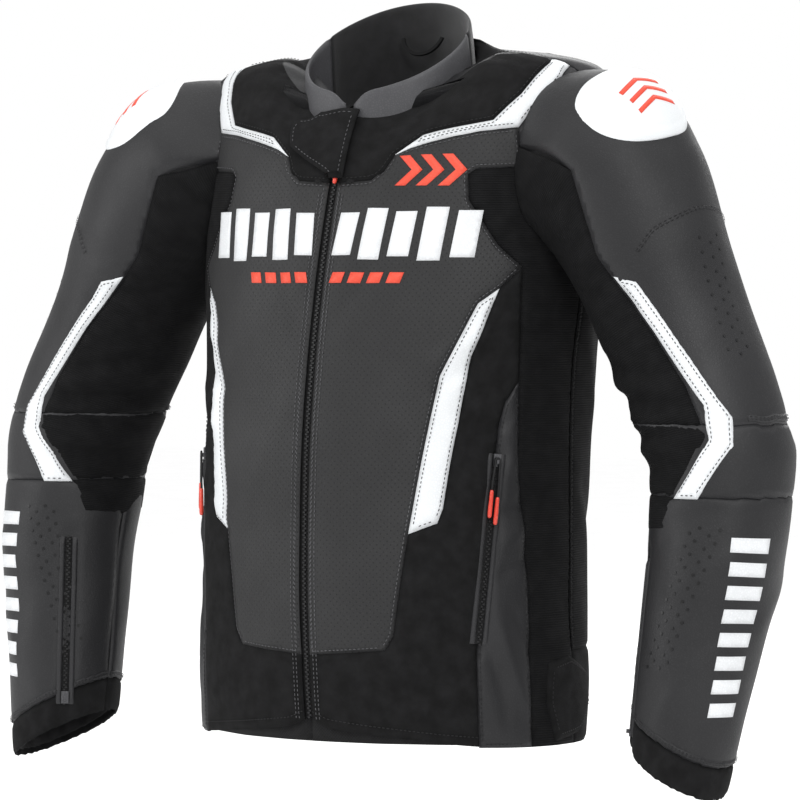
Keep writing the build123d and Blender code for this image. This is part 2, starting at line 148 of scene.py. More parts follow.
def finish_kind(name, dark, pale, kind, rough=(0.45, 0.65), bump=0.25, depth=0.0004, coat=0.0, sheen=0.0,
                metal=0.0, gleam=0.4, punched=False, pitch=0.0014, rib=0.0, fineness=420.0, wrinkle=0.5, edge_highlight=0.0):
    """A Principled material whose tone, roughness and bump follow a grain or a weave, with an optional painted
    highlight that lightens it near panel edges.
    """
    m = bpy.data.materials.new(name)
    m.use_nodes = True
    t = m.node_tree
    shader = t.nodes["Principled BSDF"]
    place = add(t, "ShaderNodeTexCoord")
    if kind == "grain":
        g = add(t, "ShaderNodeGroup", node_tree=grain,
                links={"Vector": place.outputs["Object"], "Fineness": fineness, "Wrinkle": wrinkle})
    else:
        g = add(t, "ShaderNodeGroup", node_tree=weave,
                links={"Vector": place.outputs["UV"], "Pitch": pitch, "Rib": rib})
    tone = add(t, "ShaderNodeMapRange", links={0: g.outputs["Tone"], 1: 0.3, 2: 0.75})
    colour = add(t, "ShaderNodeMix", data_type="RGBA",
                 links={0: tone.outputs[0], 6: srgb(dark), 7: srgb(pale)}).outputs[2]
    height = g.outputs["Height"]
    # Painted highlight: the colour is lightened within a few millimetres of each panel's edge, read from the seam
    # distance, for the light caught on the rolled seam edges
    if edge_highlight:
        edge = add(t, "ShaderNodeAttribute", attribute_name="seam")
        near = add(t, "ShaderNodeMapRange", links={0: edge.outputs["Fac"], 1: 0.0006, 2: 0.0045, 3: edge_highlight, 4: 0.0})
        painted_highlight = maths(t, "MULTIPLY", near.outputs[0], g.outputs["Tone"])
        light = tuple(min(1.0, c * 2.1 + 0.01) for c in srgb(pale)[:3]) + (1.0,)
        colour = add(t, "ShaderNodeMix", data_type="RGBA", links={0: painted_highlight, 6: colour, 7: light}).outputs[2]
    if punched:
        h = add(t, "ShaderNodeGroup", node_tree=holes, links={"Vector": place.outputs["UV"]})
        colour = add(t, "ShaderNodeMix", data_type="RGBA",
                     links={0: h.outputs[0], 6: colour, 7: srgb("0b0b0c")}).outputs[2]
        height = maths(t, "SUBTRACT", height, maths(t, "MULTIPLY", h.outputs[0], 3.0))
    t.links.new(colour, shader.inputs["Base Color"])
    rough_map = add(t, "ShaderNodeMapRange", links={0: g.outputs["Tone"], 1: 0.25, 2: 0.8, 3: rough[1], 4: rough[0]})
    t.links.new(rough_map.outputs[0], shader.inputs["Roughness"])
    b = add(t, "ShaderNodeBump", links={"Strength": bump, "Distance": depth, "Height": height})
    t.links.new(b.outputs[0], shader.inputs["Normal"])
    for socket, value in (("Metallic", metal), ("Coat Weight", coat), ("Coat Roughness", 0.3),
                          ("Sheen Weight", sheen), ("Specular IOR Level", gleam)):
        shader.inputs[socket].default_value = value
    return m


# The three leathers below get a painted highlight along their panel edges
LEATHER = finish_kind("black leather", "18181a", "252527", "grain", (0.42, 0.6), 0.5, edge_highlight=0.35)
PUNCHED = finish_kind("punched leather", "1d1d1e", "29292a", "grain", (0.5, 0.66), 0.35, punched=True, wrinkle=0.25,
                      edge_highlight=0.3)
COLLAR = finish_kind("collar leather", "39393b", "48484b", "grain", (0.4, 0.58), 0.4, edge_highlight=0.3)
WHITE = finish_kind("white leather", "d9dcde", "eef0f2", "grain", (0.38, 0.5), 0.25, wrinkle=0.3)
CUP = finish_kind("white moulded cup", "dfe2e4", "f0f2f4", "grain", (0.3, 0.42), 0.12, fineness=700.0, wrinkle=0.15,
                  coat=0.15)
CLOTH = finish_kind("woven cloth", "121212", "1e1e1f", "weave", (0.82, 0.95), 0.6, pitch=0.0013, gleam=0.15)
STRETCH = finish_kind("ribbed stretch cloth", "0b0b0c", "141415", "weave", (0.8, 0.92), 0.7, pitch=0.0022, rib=0.9,
                      gleam=0.15)
SOFT = finish_kind("soft neck cloth", "0d0d0e", "1b1b1d", "weave", (0.85, 0.95), 0.4, sheen=0.35, pitch=0.0009)
MESH = finish_kind("lining mesh", "050506", "101012", "weave", (0.8, 0.95), 0.6, pitch=0.003)
TAPE = finish_kind("zip tape", "060607", "111112", "weave", (0.7, 0.85), 0.5, pitch=0.001)
TEETH = finish_kind("zip teeth", "0a0a0b", "1a1a1c", "grain", (0.28, 0.4), 0.1, fineness=900.0)
THREAD = finish_kind("dark thread", "101011", "242426", "grain", (0.5, 0.7), 0.2, fineness=1500.0)
GREY_THREAD = finish_kind("grey thread", "4a4a4c", "6a6a6d", "grain", (0.5, 0.7), 0.2, fineness=1500.0)
RED = finish_kind("red tip", "d8402f", "ec5442", "grain", (0.16, 0.26), 0.05, coat=0.6, fineness=300.0, wrinkle=0.1)
RED_PRINT = finish_kind("red print", "e04a36", "f15b43", "grain", (0.4, 0.5), 0.15, wrinkle=0.2)
PRINT = finish_kind("white print", "d6d8da", "eceef0", "grain", (0.45, 0.6), 0.3, wrinkle=0.4)
METAL = finish_kind("dark slider metal", "4a4a4c", "78787b", "grain", (0.22, 0.36), 0.08, metal=0.9, fineness=600.0)
CORD = finish_kind("black cord", "0c0c0d", "1e1e20", "grain", (0.55, 0.7), 0.5, fineness=1600.0)

# --- pull cords
CORD_ROUTES = {
    "pocket_cord_left": ("pocket_slider_left", "pocket_tips_left", 0.069, [
        (0.1669, -0.07285, -0.42302), (0.16763, -0.07165, -0.41009), (0.1678, -0.07114, -0.39808),
        (0.16853, -0.07001, -0.38756), (0.16548, -0.07357, -0.38625), (0.16502, -0.07438, -0.39661),
        (0.16387, -0.07597, -0.40545), (0.16324, -0.07698, -0.41639)]),
    "pocket_cord_right": ("pocket_slider_right", "pocket_tips_right", 0.069, [
        (-0.16303, -0.07739, -0.42237), (-0.16377, -0.07619, -0.40945), (-0.16496, -0.07447, -0.39761),
        (-0.16544, -0.07365, -0.38705), (-0.16858, -0.06994, -0.38677), (-0.16786, -0.07105, -0.39708),
        (-0.16799, -0.07112, -0.40614), (-0.16737, -0.07214, -0.41707)]),
    "main_cord": ("main_slider", "main_tips", 0.069, [
        (0.003, -0.09043, -0.10551), (0.003, -0.08627, -0.09319), (0.0022, -0.08243, -0.08182),
        (0.0024, -0.07904, -0.07178), (-0.0024, -0.07879, -0.07102), (-0.0022, -0.08211, -0.08088),
        (-0.0032, -0.08499, -0.0894), (-0.0032, -0.08851, -0.09983)]),
}
PULL_DOWN = {"pocket_cord_left": (-0.0568, -0.0923, -0.9941), "pocket_cord_right": (0.0568, -0.0923, -0.9941),
             "main_cord": (0, -0.3199, -0.9475)}
CORD_RADIUS, LOOP_RISE = 0.001, 0.004


def unit(v):
    """Vectors along the last axis, each divided by its own length."""
    return v / (np.linalg.norm(v, axis=-1, keepdims=True) + 1e-9)


def grid_quads(rows, count, closed=False):
    """Four-sided faces between rows of points of this count; a closed row's last point joins its first."""
    i, j = np.meshgrid(np.arange(rows - 1), np.arange(count if closed else count - 1), indexing="ij")
    after = (j + 1) % count
    return np.stack([i * count + j, i * count + after, (i + 1) * count + after, (i + 1) * count + j], -1).reshape(-1, 4)


def faced(verts, faces, out):
    """Faces, all turned over if the sum of their normals points against the way out."""
    a, b, c = (verts[faces[:, n]] for n in (0, 1, -1))
    return faces if np.sum(np.cross(b - a, c - a) * out) > 0 else faces[:, ::-1]


def belongs(ob, body, nodes=()):
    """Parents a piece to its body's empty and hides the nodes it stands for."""
    if body:
        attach(ob, body)
    if nodes:
        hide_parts(*nodes)
    return ob


def walled(ob, thick, offset):
    """Live wall of this many millimetres: all below the surface at offset -1, half to each side at 0."""
    wall = ob.modifiers.new("cloth thickness", "SOLIDIFY")
    wall.thickness = thick * 0.001
    wall.offset = offset


def mesh_piece(name, verts, faces, material, uv=None, seam=None, smooth=True):
    """Mesh object at the origin from corner places in metres; uv and seam are per corner of the surface."""
    data = bpy.data.meshes.new(name)
    data.from_pydata(verts.tolist(), [], faces if isinstance(faces, list) else faces.tolist())
    if smooth:
        data.shade_smooth()
    loops = np.empty(len(data.loops), dtype=np.int32)
    data.loops.foreach_get("vertex_index", loops)
    if uv is not None:
        layer = data.uv_layers.new(name="cloth")
        layer.data.foreach_set("uv", uv[loops].astype(np.float32).ravel())
    if seam is not None:
        data.attributes.new("seam", "FLOAT", "POINT").data.foreach_set("value", seam.astype(np.float32))
    data.materials.append(material)
    data.update()
    ob = bpy.data.objects.new(name, data)
    scene.collection.objects.link(ob)
    return ob


def lathe(name, start, direction, profile, material, sides=20):
    """Turned piece: rings of the profile's radii carried along a straight axis, closed by a point at each end."""
    start, axis = np.array(start), unit(np.array(direction, float))
    side = unit(np.cross(axis, (0.3, 1.0, 0.2)))
    other = np.cross(axis, side)
    turn = np.linspace(0, 2 * np.pi, sides, endpoint=False)
    ring = np.cos(turn)[:, None] * side + np.sin(turn)[:, None] * other
    rows = [start + axis * t + ring * r for t, r in profile]
    verts = np.concatenate(rows + [[start + axis * profile[0][0]], [start + axis * profile[-1][0]]])
    n, k = len(profile), np.arange(sides)
    nxt = (k + 1) % sides
    faces = grid_quads(n, sides, True).tolist()
    faces += np.stack([nxt, k, np.full(sides, n * sides)], 1).tolist()
    faces += np.stack([(n - 1) * sides + k, (n - 1) * sides + nxt, np.full(sides, n * sides + 1)], 1).tolist()
    return mesh_piece(name, verts, faces, material)


TIP_PROFILE = [(0.0, 0.0012), (0.0006, 0.0016), (0.002, 0.0018), (0.008, 0.0019), (0.016, 0.0021), (0.022, 0.0021),
               (0.0245, 0.0019), (0.0257, 0.0013), (0.026, 0.0006)]
for label, (body, tip_node, length, route) in CORD_ROUTES.items():
    curve = bpy.data.curves.new(label + "_line", "CURVE")
    curve.dimensions = "3D"
    spline_line = curve.splines.new("NURBS")
    spline_line.points.add(len(route) - 1)
    for point, place in zip(spline_line.points, route):
        point.co = (*place, 1.0)
    spline_line.order_u = 3
    spline_line.use_endpoint_u = True
    curve.bevel_depth = CORD_RADIUS
    curve.bevel_resolution = 3
    curve.resolution_u = 8
    curve.materials.append(CORD)
    pull_cord = bpy.data.objects.new("looped_" + label, curve)
    scene.collection.objects.link(pull_cord)
    way = PULL_DOWN[label]
    tips = [lathe(f"moulded_{tip_node}_{n + 1}", route[-n], way, TIP_PROFILE, RED) for n in (0, 1)]
    belongs(pull_cord, body, [label])
    for tip in tips:
        belongs(tip, body, [tip_node])


# --- the jacket's surfaces (millimetres)
def monotone(knots, table, at):
    """Cubic through the knots: its slope at each is the harmonic mean of the two beside it, or nought where they
    differ in sign."""
    knots, table, at = np.asarray(knots, float), np.asarray(table, float), np.asarray(at, float)
    h = np.diff(knots)[:, None]
    d = np.diff(table, axis=0) / h
    m = np.zeros_like(table)
    same = d[:-1] * d[1:] > 0
    m[1:-1] = np.where(same, 2 * d[:-1] * d[1:] / np.where(same, d[:-1] + d[1:], 1), 0)
    m[0], m[-1] = d[0], d[-1]
    at = np.clip(at, knots[0], knots[-1])
    i = np.clip(np.searchsorted(knots, at) - 1, 0, len(knots) - 2)
    w = h[i, 0]
    t = ((at - knots[i]) / w)[..., None]
    w = w[..., None]
    return ((2 * t**3 - 3 * t**2 + 1) * table[i] + (t**3 - 2 * t**2 + t) * w * m[i]
            + (3 * t**2 - 2 * t**3) * table[i + 1] + (t**3 - t**2) * w * m[i + 1])


# Half widths and backs of the trunk's rows by height; its front is an arc, and the dome's rows give their own front
FRONT_RADIUS = 1180.24
TRUNK = [(-658, 198, 158), (-600, 197, 168), (-500, 193, 173), (-400, 193, 180), (-300, 197, 183), (-220, 206, 181),
         (-160, 210, 172), (-110, 213, 158)]
DOME = [(-64, 217, -71, 141), (-32, 216, -46, 126), (-20, 206, -35, 117), (-12, 184, -26, 109), (-4, 146, -16, 102),
        (5, 98, -3, 95), (16, 62, 30, 90), (17, 30, 44, 86)]
FRONT_MOST, FRONT_LEVEL = -149.5, -480
rows = np.array([(z, a, FRONT_MOST + FRONT_RADIUS - math.sqrt(FRONT_RADIUS**2 - (z - FRONT_LEVEL) ** 2), y)
                 for z, a, y in TRUNK] + DOME)
row_v = np.concatenate([[0], np.cumsum(np.sqrt(np.diff(rows[:, 0]) ** 2 + np.diff(rows[:, 1]) ** 2))])
fine_v = np.linspace(0, row_v[-1], 3000)
fine_rows = monotone(row_v, rows, fine_v)
GIRTH = 195.0
COLLAR_NEAR = 0.32


def in_collar(p):
    """How far a point stands inside the collar's tilted tube, an oval 82 by 85 about its axis: below 1 is inside."""
    tilt = math.radians(30.4)
    t = ((p[..., 1] - 10) * -math.sin(tilt) + (p[..., 2] + 62) * math.cos(tilt)) / 60.9
    q = (p[..., 1] - (10 - 8 * t)) * math.cos(tilt) + (p[..., 2] - (-62 + 66 * t)) * math.sin(tilt)
    return np.where(t > 0, np.sqrt((p[..., 0] / 82) ** 2 + (q / 85) ** 2), 2.0)


def torso(u, v):
    """Ellipse at each height, drawn down in front where it nears the collar: u is the angle from the front times
    195, v the length up the side."""
    u, v = np.broadcast_arrays(u, v)
    z, a, front, back = np.moveaxis(monotone(row_v, rows, v), -1, 0)
    phi = u / GIRTH
    p = np.stack([a * np.sin(phi), (front + back) / 2 - (back - front) / 2 * np.cos(phi), z], -1)
    near = np.exp(-((np.clip(in_collar(p), 1, 2) - 1) / COLLAR_NEAR) ** 2)
    forward = np.clip(np.cos(phi) / 0.5, 0, 1)
    p[..., 2] -= near * forward**2 * (3 - 2 * forward) * (4 + 17 * (1 - np.exp(-(p[..., 0] / 30) ** 2)))
    return p


neck_u = np.linspace(0, math.pi * GIRTH, 181)
UNDERARM = 7
scan_v = np.linspace(row_v[UNDERARM], row_v[-1], 500)
under_collar = in_collar(torso(neck_u[:, None], scan_v[None, :])) < 1
neck_v = np.where(under_collar.any(1), scan_v[np.argmax(under_collar, 1)], scan_v[-1]) + 2.0
SIDE_SEAM = 18.0


def side_limit(v):
    """Angle at which the torso crosses the side seam's plane."""
    z, a, front, back = np.moveaxis(monotone(row_v, rows, v), -1, 0)
    return np.arccos(np.clip(((front + back) / 2 - SIDE_SEAM) / ((back - front) / 2), -1, 1))


def on_torso(points, back=False):
    """Front or back view outline carried to the torso's own two measures, kept to its side seam, neck and hem."""
    p = dense(points, 5.0)
    v = np.interp(p[:, 1], fine_rows[:, 0], fine_v)
    a = np.interp(v, fine_v, fine_rows[:, 1])
    limit = side_limit(v)
    phi = np.arcsin(np.clip(p[:, 0] / a, -1, 1))
    within = np.abs(p[:, 0]) < a * np.sin(limit)
    u = np.where(within, math.pi - phi if back else phi, limit if back else np.sign(p[:, 0]) * limit) * GIRTH
    return np.stack([u, np.minimum(v, np.interp(np.abs(u), neck_u, neck_v))], 1)


# Sleeve stations: centre x, y and z, tilt outwards and lean forwards in degrees, two half widths, turn of the oval
STATIONS = np.array([
    (152, 32, -99, 72, 0, 80, 64, 0), (216, 22, -112, 56, 0, 96, 87, 0), (257, 16, -152, 42, 0, 89, 82, 30),
    (284, 10, -200, 30, 0, 79, 75, 45), (314, 6, -268, 24, 0, 73, 70, 45), (345, 3, -335, 18, 2, 73, 68, 45),
    (366, -1, -400, 5, 6, 70, 66, 45), (365, -16, -480, -5, 10, 65.5, 61.5, 45),
    (357, -31, -560, -5, 10, 59.5, 55.5, 45), (342, -59, -715, -5, 10, 48, 44, 45)], float)
station_v = np.concatenate([[0], np.cumsum(np.linalg.norm(np.diff(STATIONS[:, :3], axis=0), axis=1))])
ARM = 62.0
HALF_ROUND = math.pi * ARM

def sleeve(u, v):
    """Oval at each station: u is the angle from outwards towards the front times 62, v the length down the arm."""
    u, v = np.broadcast_arrays(u, v)
    s = monotone(station_v, STATIONS, v)
    tilt, lean, angle = np.radians(s[..., 3]), np.radians(s[..., 4]), np.radians(s[..., 7])
    down = np.stack([np.sin(tilt) * np.cos(lean), -np.sin(lean), -np.cos(tilt) * np.cos(lean)], -1)
    out = unit(np.cross(down, (0.0, 1.0, 0.0)))
    forward = np.cross(down, out)
    theta = u / ARM
    reach = 1 / np.sqrt((np.cos(theta - angle) / s[..., 5]) ** 2 + (np.sin(theta - angle) / s[..., 6]) ** 2)
    return s[..., :3] + reach[..., None] * (np.cos(theta)[..., None] * out + np.sin(theta)[..., None] * forward)


arm_u = np.linspace(-math.pi, math.pi, 181) * ARM
arm_v = np.linspace(0, station_v[-1], 381)
arm_grid = sleeve(arm_u[:, None], arm_v[None, :])


def torso_depth(p):
    """Below 1 inside the torso, from the ellipse at the point's own height."""
    v = np.interp(p[..., 2], fine_rows[:, 0], fine_v)
    z, a, front, back = np.moveaxis(monotone(row_v, rows, v), -1, 0)
    r = np.sqrt((p[..., 0] / a) ** 2 + ((p[..., 1] - (front + back) / 2) / ((back - front) / 2)) ** 2)
    return np.where(p[..., 2] > 17, 2.0, r)


buried = torso_depth(arm_grid) < 1
arm_start = np.array([arm_v[np.nonzero(row)[0][-1]] if row.any() else 0 for row in buried]) - 4.0
arm_start = np.clip(np.convolve(np.pad(arm_start, 3, "edge"), np.ones(7) / 7, "valid"), 0, None)


def arm_level(level, slope=0.0):
    """Length down the arm at which each angle meets a level cut, or one that falls towards the outside."""
    cut = arm_grid[..., 2] - (level - math.tan(math.radians(slope)) * (arm_grid[..., 0] - 350))
    return arm_v[np.argmax(cut < 0, 1)]


# Where the arm's outward normal points to the front
near_side = np.cross(np.gradient(arm_grid, axis=0), np.gradient(arm_grid, axis=1))[..., 1] < 0


def on_sleeve(points, shift=0.0, step=4.0, front=True, closed=True):
    """Front view line carried to the sleeve's own two measures: its nearest point on the near or far side, then
    three Newton steps."""
    p = [(x + shift, z) for x, z in points]
    p = dense(p, step) if closed else open_line(p, step)
    us, vs = np.nonzero(near_side if front else ~near_side)
    flat = arm_grid[us, vs][:, [0, 2]]
    best = np.argmin(((p[:, None, :] - flat[None]) ** 2).sum(-1), 1)
    u, v = arm_u[us[best]].copy(), arm_v[vs[best]].copy()
    for _ in range(3):
        miss = p - sleeve(u, v)[:, [0, 2]]
        du = (sleeve(u + 0.5, v) - sleeve(u - 0.5, v))[:, [0, 2]]
        dv = (sleeve(u, v + 0.5) - sleeve(u, v - 0.5))[:, [0, 2]]
        det = du[:, 0] * dv[:, 1] - du[:, 1] * dv[:, 0]
        good = np.abs(det) > 0.3
        det = np.where(good, det, 1.0)
        u = u + np.where(good, np.clip((miss[:, 0] * dv[:, 1] - miss[:, 1] * dv[:, 0]) / det, -3, 3), 0)
        v = v + np.where(good, np.clip((du[:, 0] * miss[:, 1] - du[:, 1] * miss[:, 0]) / det, -3, 3), 0)
    return np.stack([u, v], 1)


def dense(points, step):
    """Closed outline with points no further apart than the step."""
    p = np.asarray(points, float)
    out = []
    for a, b in zip(p, np.roll(p, -1, axis=0)):
        n = max(1, int(np.ceil(np.linalg.norm(b - a) / step)))
        out.append(a + (b - a) * np.linspace(0, 1, n, endpoint=False)[:, None])
    return np.concatenate(out)


def open_line(points, step):
    """Points at an even step along an open line."""
    p = np.asarray(points, float)
    run = np.concatenate([[0], np.cumsum(np.linalg.norm(np.diff(p, axis=0), axis=1))])
    at = np.linspace(0, run[-1], max(2, int(run[-1] / step) + 1))
    return np.stack([np.interp(at, run, p[:, 0]), np.interp(at, run, p[:, 1])], 1)


def line_distance(p, line):
    """Distance of each point from a line of straight runs, by the nearest point on each run."""
    best = np.full(len(p), 1e9)
    for a, b in zip(line[:-1], line[1:]):
        ab = b - a
        t = np.clip(((p - a) @ ab) / (ab @ ab + 1e-12), 0, 1)
        best = np.minimum(best, np.linalg.norm(p - a - t[:, None] * ab, axis=1))
    return best


def inside(p, outline):
    """Even number of crossings test of points against a closed outline."""
    hit = np.zeros(len(p), bool)
    for a, b in zip(outline, np.roll(outline, -1, axis=0)):
        crosses = (a[1] > p[:, 1]) != (b[1] > p[:, 1])
        x = a[0] + (p[:, 1] - a[1]) * (b[0] - a[0]) / (b[1] - a[1] if b[1] != a[1] else 1e-9)
        hit ^= crosses & (p[:, 0] < x)
    return hit


# Creases: centre line from, to, half width, height in millimetres; ridges are positive and folds negative
TORSO_CREASES = [
    ((180, 395), (110, 352), 9, 2.4), ((188, 372), (120, 330), 8, -2.6), ((205, 340), (140, 296), 10, 2.4),
    ((216, 312), (150, 262), 8, -2.2), ((232, 270), (170, 236), 9, 2.2), ((246, 240), (186, 214), 8, -2.4),
    ((262, 214), (196, 186), 9, 2.4), ((270, 186), (200, 160), 8, -2.0), ((150, 226), (96, 208), 10, 1.6),
    ((60, 560), (20, 420), 14, 1.6), ((30, 96), (118, 60), 12, 1.8), ((90, 30), (170, 52), 10, 1.8),
    ((200, 120), (236, 30), 9, 2.2), ((216, 132), (262, 54), 8, -2.2), ((186, 96), (205, 20), 8, -1.8),
    ((60, 470), (14, 380), 10, -1.2), ((14, 330), (70, 240), 15, 1.2), ((300, 420), (380, 300), 16, 2.0),
    ((330, 250), (450, 180), 14, -1.8), ((420, 330), (520, 200), 16, 1.8)]
ARM_CREASES = [
    ((176, 250), (110, 292), 8, -3.4), ((186, 272), (104, 312), 8, 2.8), ((180, 296), (96, 330), 7, -3.6),
    ((186, 318), (92, 346), 7, 2.8), ((184, 338), (90, 362), 7, -3.4), ((180, 362), (98, 378), 8, 2.6),
    ((170, 384), (100, 396), 7, -2.6), ((160, 180), (90, 232), 10, -2.4), ((140, 150), (86, 200), 10, 2.4),
    ((60, 430), (130, 470), 12, -1.6), ((40, 470), (110, 520), 14, 1.8), ((10, 520), (86, 560), 12, -1.6),
    ((-60, 470), (20, 540), 14, 1.8), ((60, 570), (110, 640), 10, 1.4), ((-90, 330), (-20, 360), 9, -2.4),
    ((-100, 360), (-30, 380), 8, 2.2), ((-120, 200), (-60, 280), 14, 1.8), ((0, 120), (50, 210), 16, 1.6),
    ((-20, 180), (14, 300), 14, -1.4)]


def creased(u, v, creases, seed):
    """Sum of soft ridges, each a bell across its line that fades at both ends, over slow waves."""
    lift = 0.5 * np.sin(u / 23 + seed) * np.sin(v / 31 + 2 * seed) + 0.35 * np.sin(u / 11 + v / 17 + 3 * seed)
    for n, (a, b, width, height) in enumerate(creases):
        a, b = np.array(a, float), np.array(b, float)
        ab = b - a
        t = ((u - a[0]) * ab[0] + (v - a[1]) * ab[1]) / (ab @ ab)
        bow = 4.0 * np.sin(n * 2.1 + seed) * (1 - (2 * t - 1) ** 2)
        across = ((u - a[0]) * -ab[1] + (v - a[1]) * ab[0]) / np.linalg.norm(ab) + bow
        fade = np.exp(-np.clip(np.abs(t - 0.5) - 0.32, 0, None) ** 2 / 0.03)
        lift = lift + height * np.exp(-(across / width) ** 2) * fade
    return lift


# Where the pocket and cuff zips start on the left side, and which way they run
POCKET_RUN = np.array([164.03, -68.71, -383.0]), np.array([-0.0568, -0.0923, -0.9941]), 178.0
CUFF_RUNS = {"left": (np.array([313.85, -51.16, -475.5]), np.array([-0.0362, -0.1388, -0.9897])),
             "right": (np.array([328.95, -66.38, -474.2]), np.array([-0.0539, -0.1208, -0.9912]))}


def run_distance(p, start, way, length):
    """Distance of each point from a straight zip that reaches four millimetres past both ends."""
    t = np.clip((p - start) @ way, -4, length + 4)
    return np.linalg.norm(p - start - t[..., None] * way, axis=-1)


def normals(surface, u, v):
    """Outward unit normal from the cross product of central differences."""
    e = 0.6
    pu = surface(u + e, v) - surface(u - e, v)
    pv = surface(u, v + e) - surface(u, v - e)
    return unit(np.cross(pu, pv))


SEED = {"left": 0.4, "right": 1.9}


def skin(surface, u, v, d, side, raise_by=0.0, roll=1.5, puff=0.7):
    """Place on the jacket: the bare surface lifted along its normal by creases, a rolled seam edge and soft filling."""
    base = surface(u, v)
    lift = raise_by - roll * np.exp(-(d / 2.4) ** 2) + puff * (1 - np.exp(-d / 14))
    if surface is torso:
        bend = creased(np.abs(u), v, TORSO_CREASES, SEED[side])
        middle = 1 - 0.75 * np.exp(-(u / 26) ** 2)
        gone = np.exp(-(run_distance(base, *POCKET_RUN) / 8.5) ** 4)
        lift = lift + bend * middle * (1 - gone) - 3.0 * gone
    else:
        bend = creased(u, v, ARM_CREASES, SEED[side] * 1.7)
        gone = np.exp(-(run_distance(base, *CUFF_RUNS[side], 240.0) / 9.0) ** 4)
        lift = lift + bend * (1 - gone) - 2.5 * gone
    return base + normals(surface, u, v) * lift[:, None]


def side_of(p, side):
    """Points of the left side, or their mirror images for the right."""
    return p * np.array([1 if side == "left" else -1, 1, 1])


ROW_STEP = 0.87


def patch(name, surface, outline, side, material, nodes, body="root", step=5.0, thick=2.2, level=0.0,
          roll=1.5, puff=0.7, cut=None, mirrored=True):
    """Cut cloth panel: a lattice of points inside the outline, joined by Delaunay triangles and laid on the jacket."""
    lo, hi = outline.min(0), outline.max(0)
    nx, ny = int((hi[0] - lo[0]) / step) + 2, int((hi[1] - lo[1]) / (step * ROW_STEP)) + 2
    gx, gy = np.meshgrid(np.arange(nx) * step, np.arange(ny) * step * ROW_STEP)
    gx = gx + (np.arange(ny)[:, None] % 2) * step / 2
    lattice = np.stack([gx.ravel(), gy.ravel()], 1) + lo
    loop = np.concatenate([outline, outline[:1]])
    lattice = lattice[inside(lattice, outline)]
    lattice = lattice[line_distance(lattice, loop) > step * 0.55]
    every = np.concatenate([outline, lattice])
    coords, _, tris, *_ = delaunay_2d_cdt([Vector(p) for p in every], [], [list(range(len(outline)))], 1, 1e-4)
    uv = np.array([c[:] for c in coords])
    tris = np.array([t[:] for t in tris if len(t) == 3])
    d = line_distance(uv, loop)
    places = skin(surface, uv[:, 0], uv[:, 1], d, side, level, roll, puff)
    if cut is not None:
        tris = tris[~cut(places)[tris].all(1)]
    hand = side if mirrored else "left"
    places = side_of(places, hand)
    tris = faced(places, tris, side_of(normals(surface, uv[tris[:, 0], 0], uv[tris[:, 0], 1]), hand))
    used = np.unique(tris)
    index = np.full(len(uv), -1)
    index[used] = np.arange(len(used))
    ob = mesh_piece(name, places[used] * 0.001, index[tris], material, uv[used] * 0.001, d[used] * 0.001)
    walled(ob, thick, -1)
    return belongs(ob, body, nodes)


# One stitch: eight corners and two ends as (share of its length, aside, up), and its faces
STITCH_RING = np.array([(0.25, 1, 0), (0.25, 0, 1), (0.25, -1, 0), (0.25, 0, -1),
                        (0.75, 1, 0), (0.75, 0, 1), (0.75, -1, 0), (0.75, 0, -1), (0, 0, 0), (1, 0, 0)])
STITCH_FACES = np.array([(0, 1, 5), (0, 5, 4), (1, 2, 6), (1, 6, 5), (2, 3, 7), (2, 7, 6), (3, 0, 4), (3, 4, 7),
                         (8, 1, 0), (8, 2, 1), (8, 3, 2), (8, 0, 3), (9, 4, 5), (9, 5, 6), (9, 6, 7), (9, 7, 4)])


def stitches(name, surface, lines, side, material, body="root", pitch=4.2, run=2.9, thick=0.42, level=0.0, d=8.0,
             mirrored=True):
    """Rows of sewing: one small eight-sided grain for each stitch, laid end to end along each line."""
    parts = []
    for line in lines:
        at = open_line(line, pitch)
        if len(at) < 2:
            continue
        a, b = at[:-1], at[:-1] + unit(np.diff(at, axis=0)) * run
        dist = np.full(len(a), float(d))
        pa = skin(surface, a[:, 0], a[:, 1], dist, side, level)
        pb = skin(surface, b[:, 0], b[:, 1], dist, side, level)
        n = normals(surface, a[:, 0], a[:, 1])
        along = pb - pa
        verts = (pa[:, None] + along[:, None] * STITCH_RING[None, :, :1]
                 + unit(np.cross(along, n))[:, None] * STITCH_RING[None, :, 1:2] * thick
                 + n[:, None] * (STITCH_RING[None, :, 2:] * thick * 0.8 + 0.15))
        parts.append(verts.reshape(-1, 3))
    hand = side if mirrored else "left"
    verts = side_of(np.concatenate(parts), hand)
    corners = len(STITCH_RING)
    faces = (STITCH_FACES[None] + corners * np.arange(len(verts) // corners)[:, None, None]).reshape(-1, 3)
    ob = mesh_piece(name, verts * 0.001, faces if hand == "left" else faces[:, ::-1], material)
    return belongs(ob, body)


def inset(outline, amount):
    """Lines this far inside a closed outline: its points moved along their normals, broken where they overlap."""
    p = np.asarray(outline, float)
    way = np.roll(p, -1, axis=0) - np.roll(p, 1, axis=0)
    n = unit(np.stack([-way[:, 1], way[:, 0]], 1))
    area = np.sum(p[:, 0] * np.roll(p[:, 1], -1) - np.roll(p[:, 0], -1) * p[:, 1])
    q = p + n * amount * (1 if area > 0 else -1)
    good = line_distance(q, np.concatenate([p, p[:1]])) > amount * 0.93
    runs, current = [], []
    for point, ok in zip(np.concatenate([q, q[:2]]), [*good, good[0], False]):
        if ok:
            current.append(point)
            continue
        if len(current) > 2:
            runs.append(np.array(current))
        current = []
    return runs


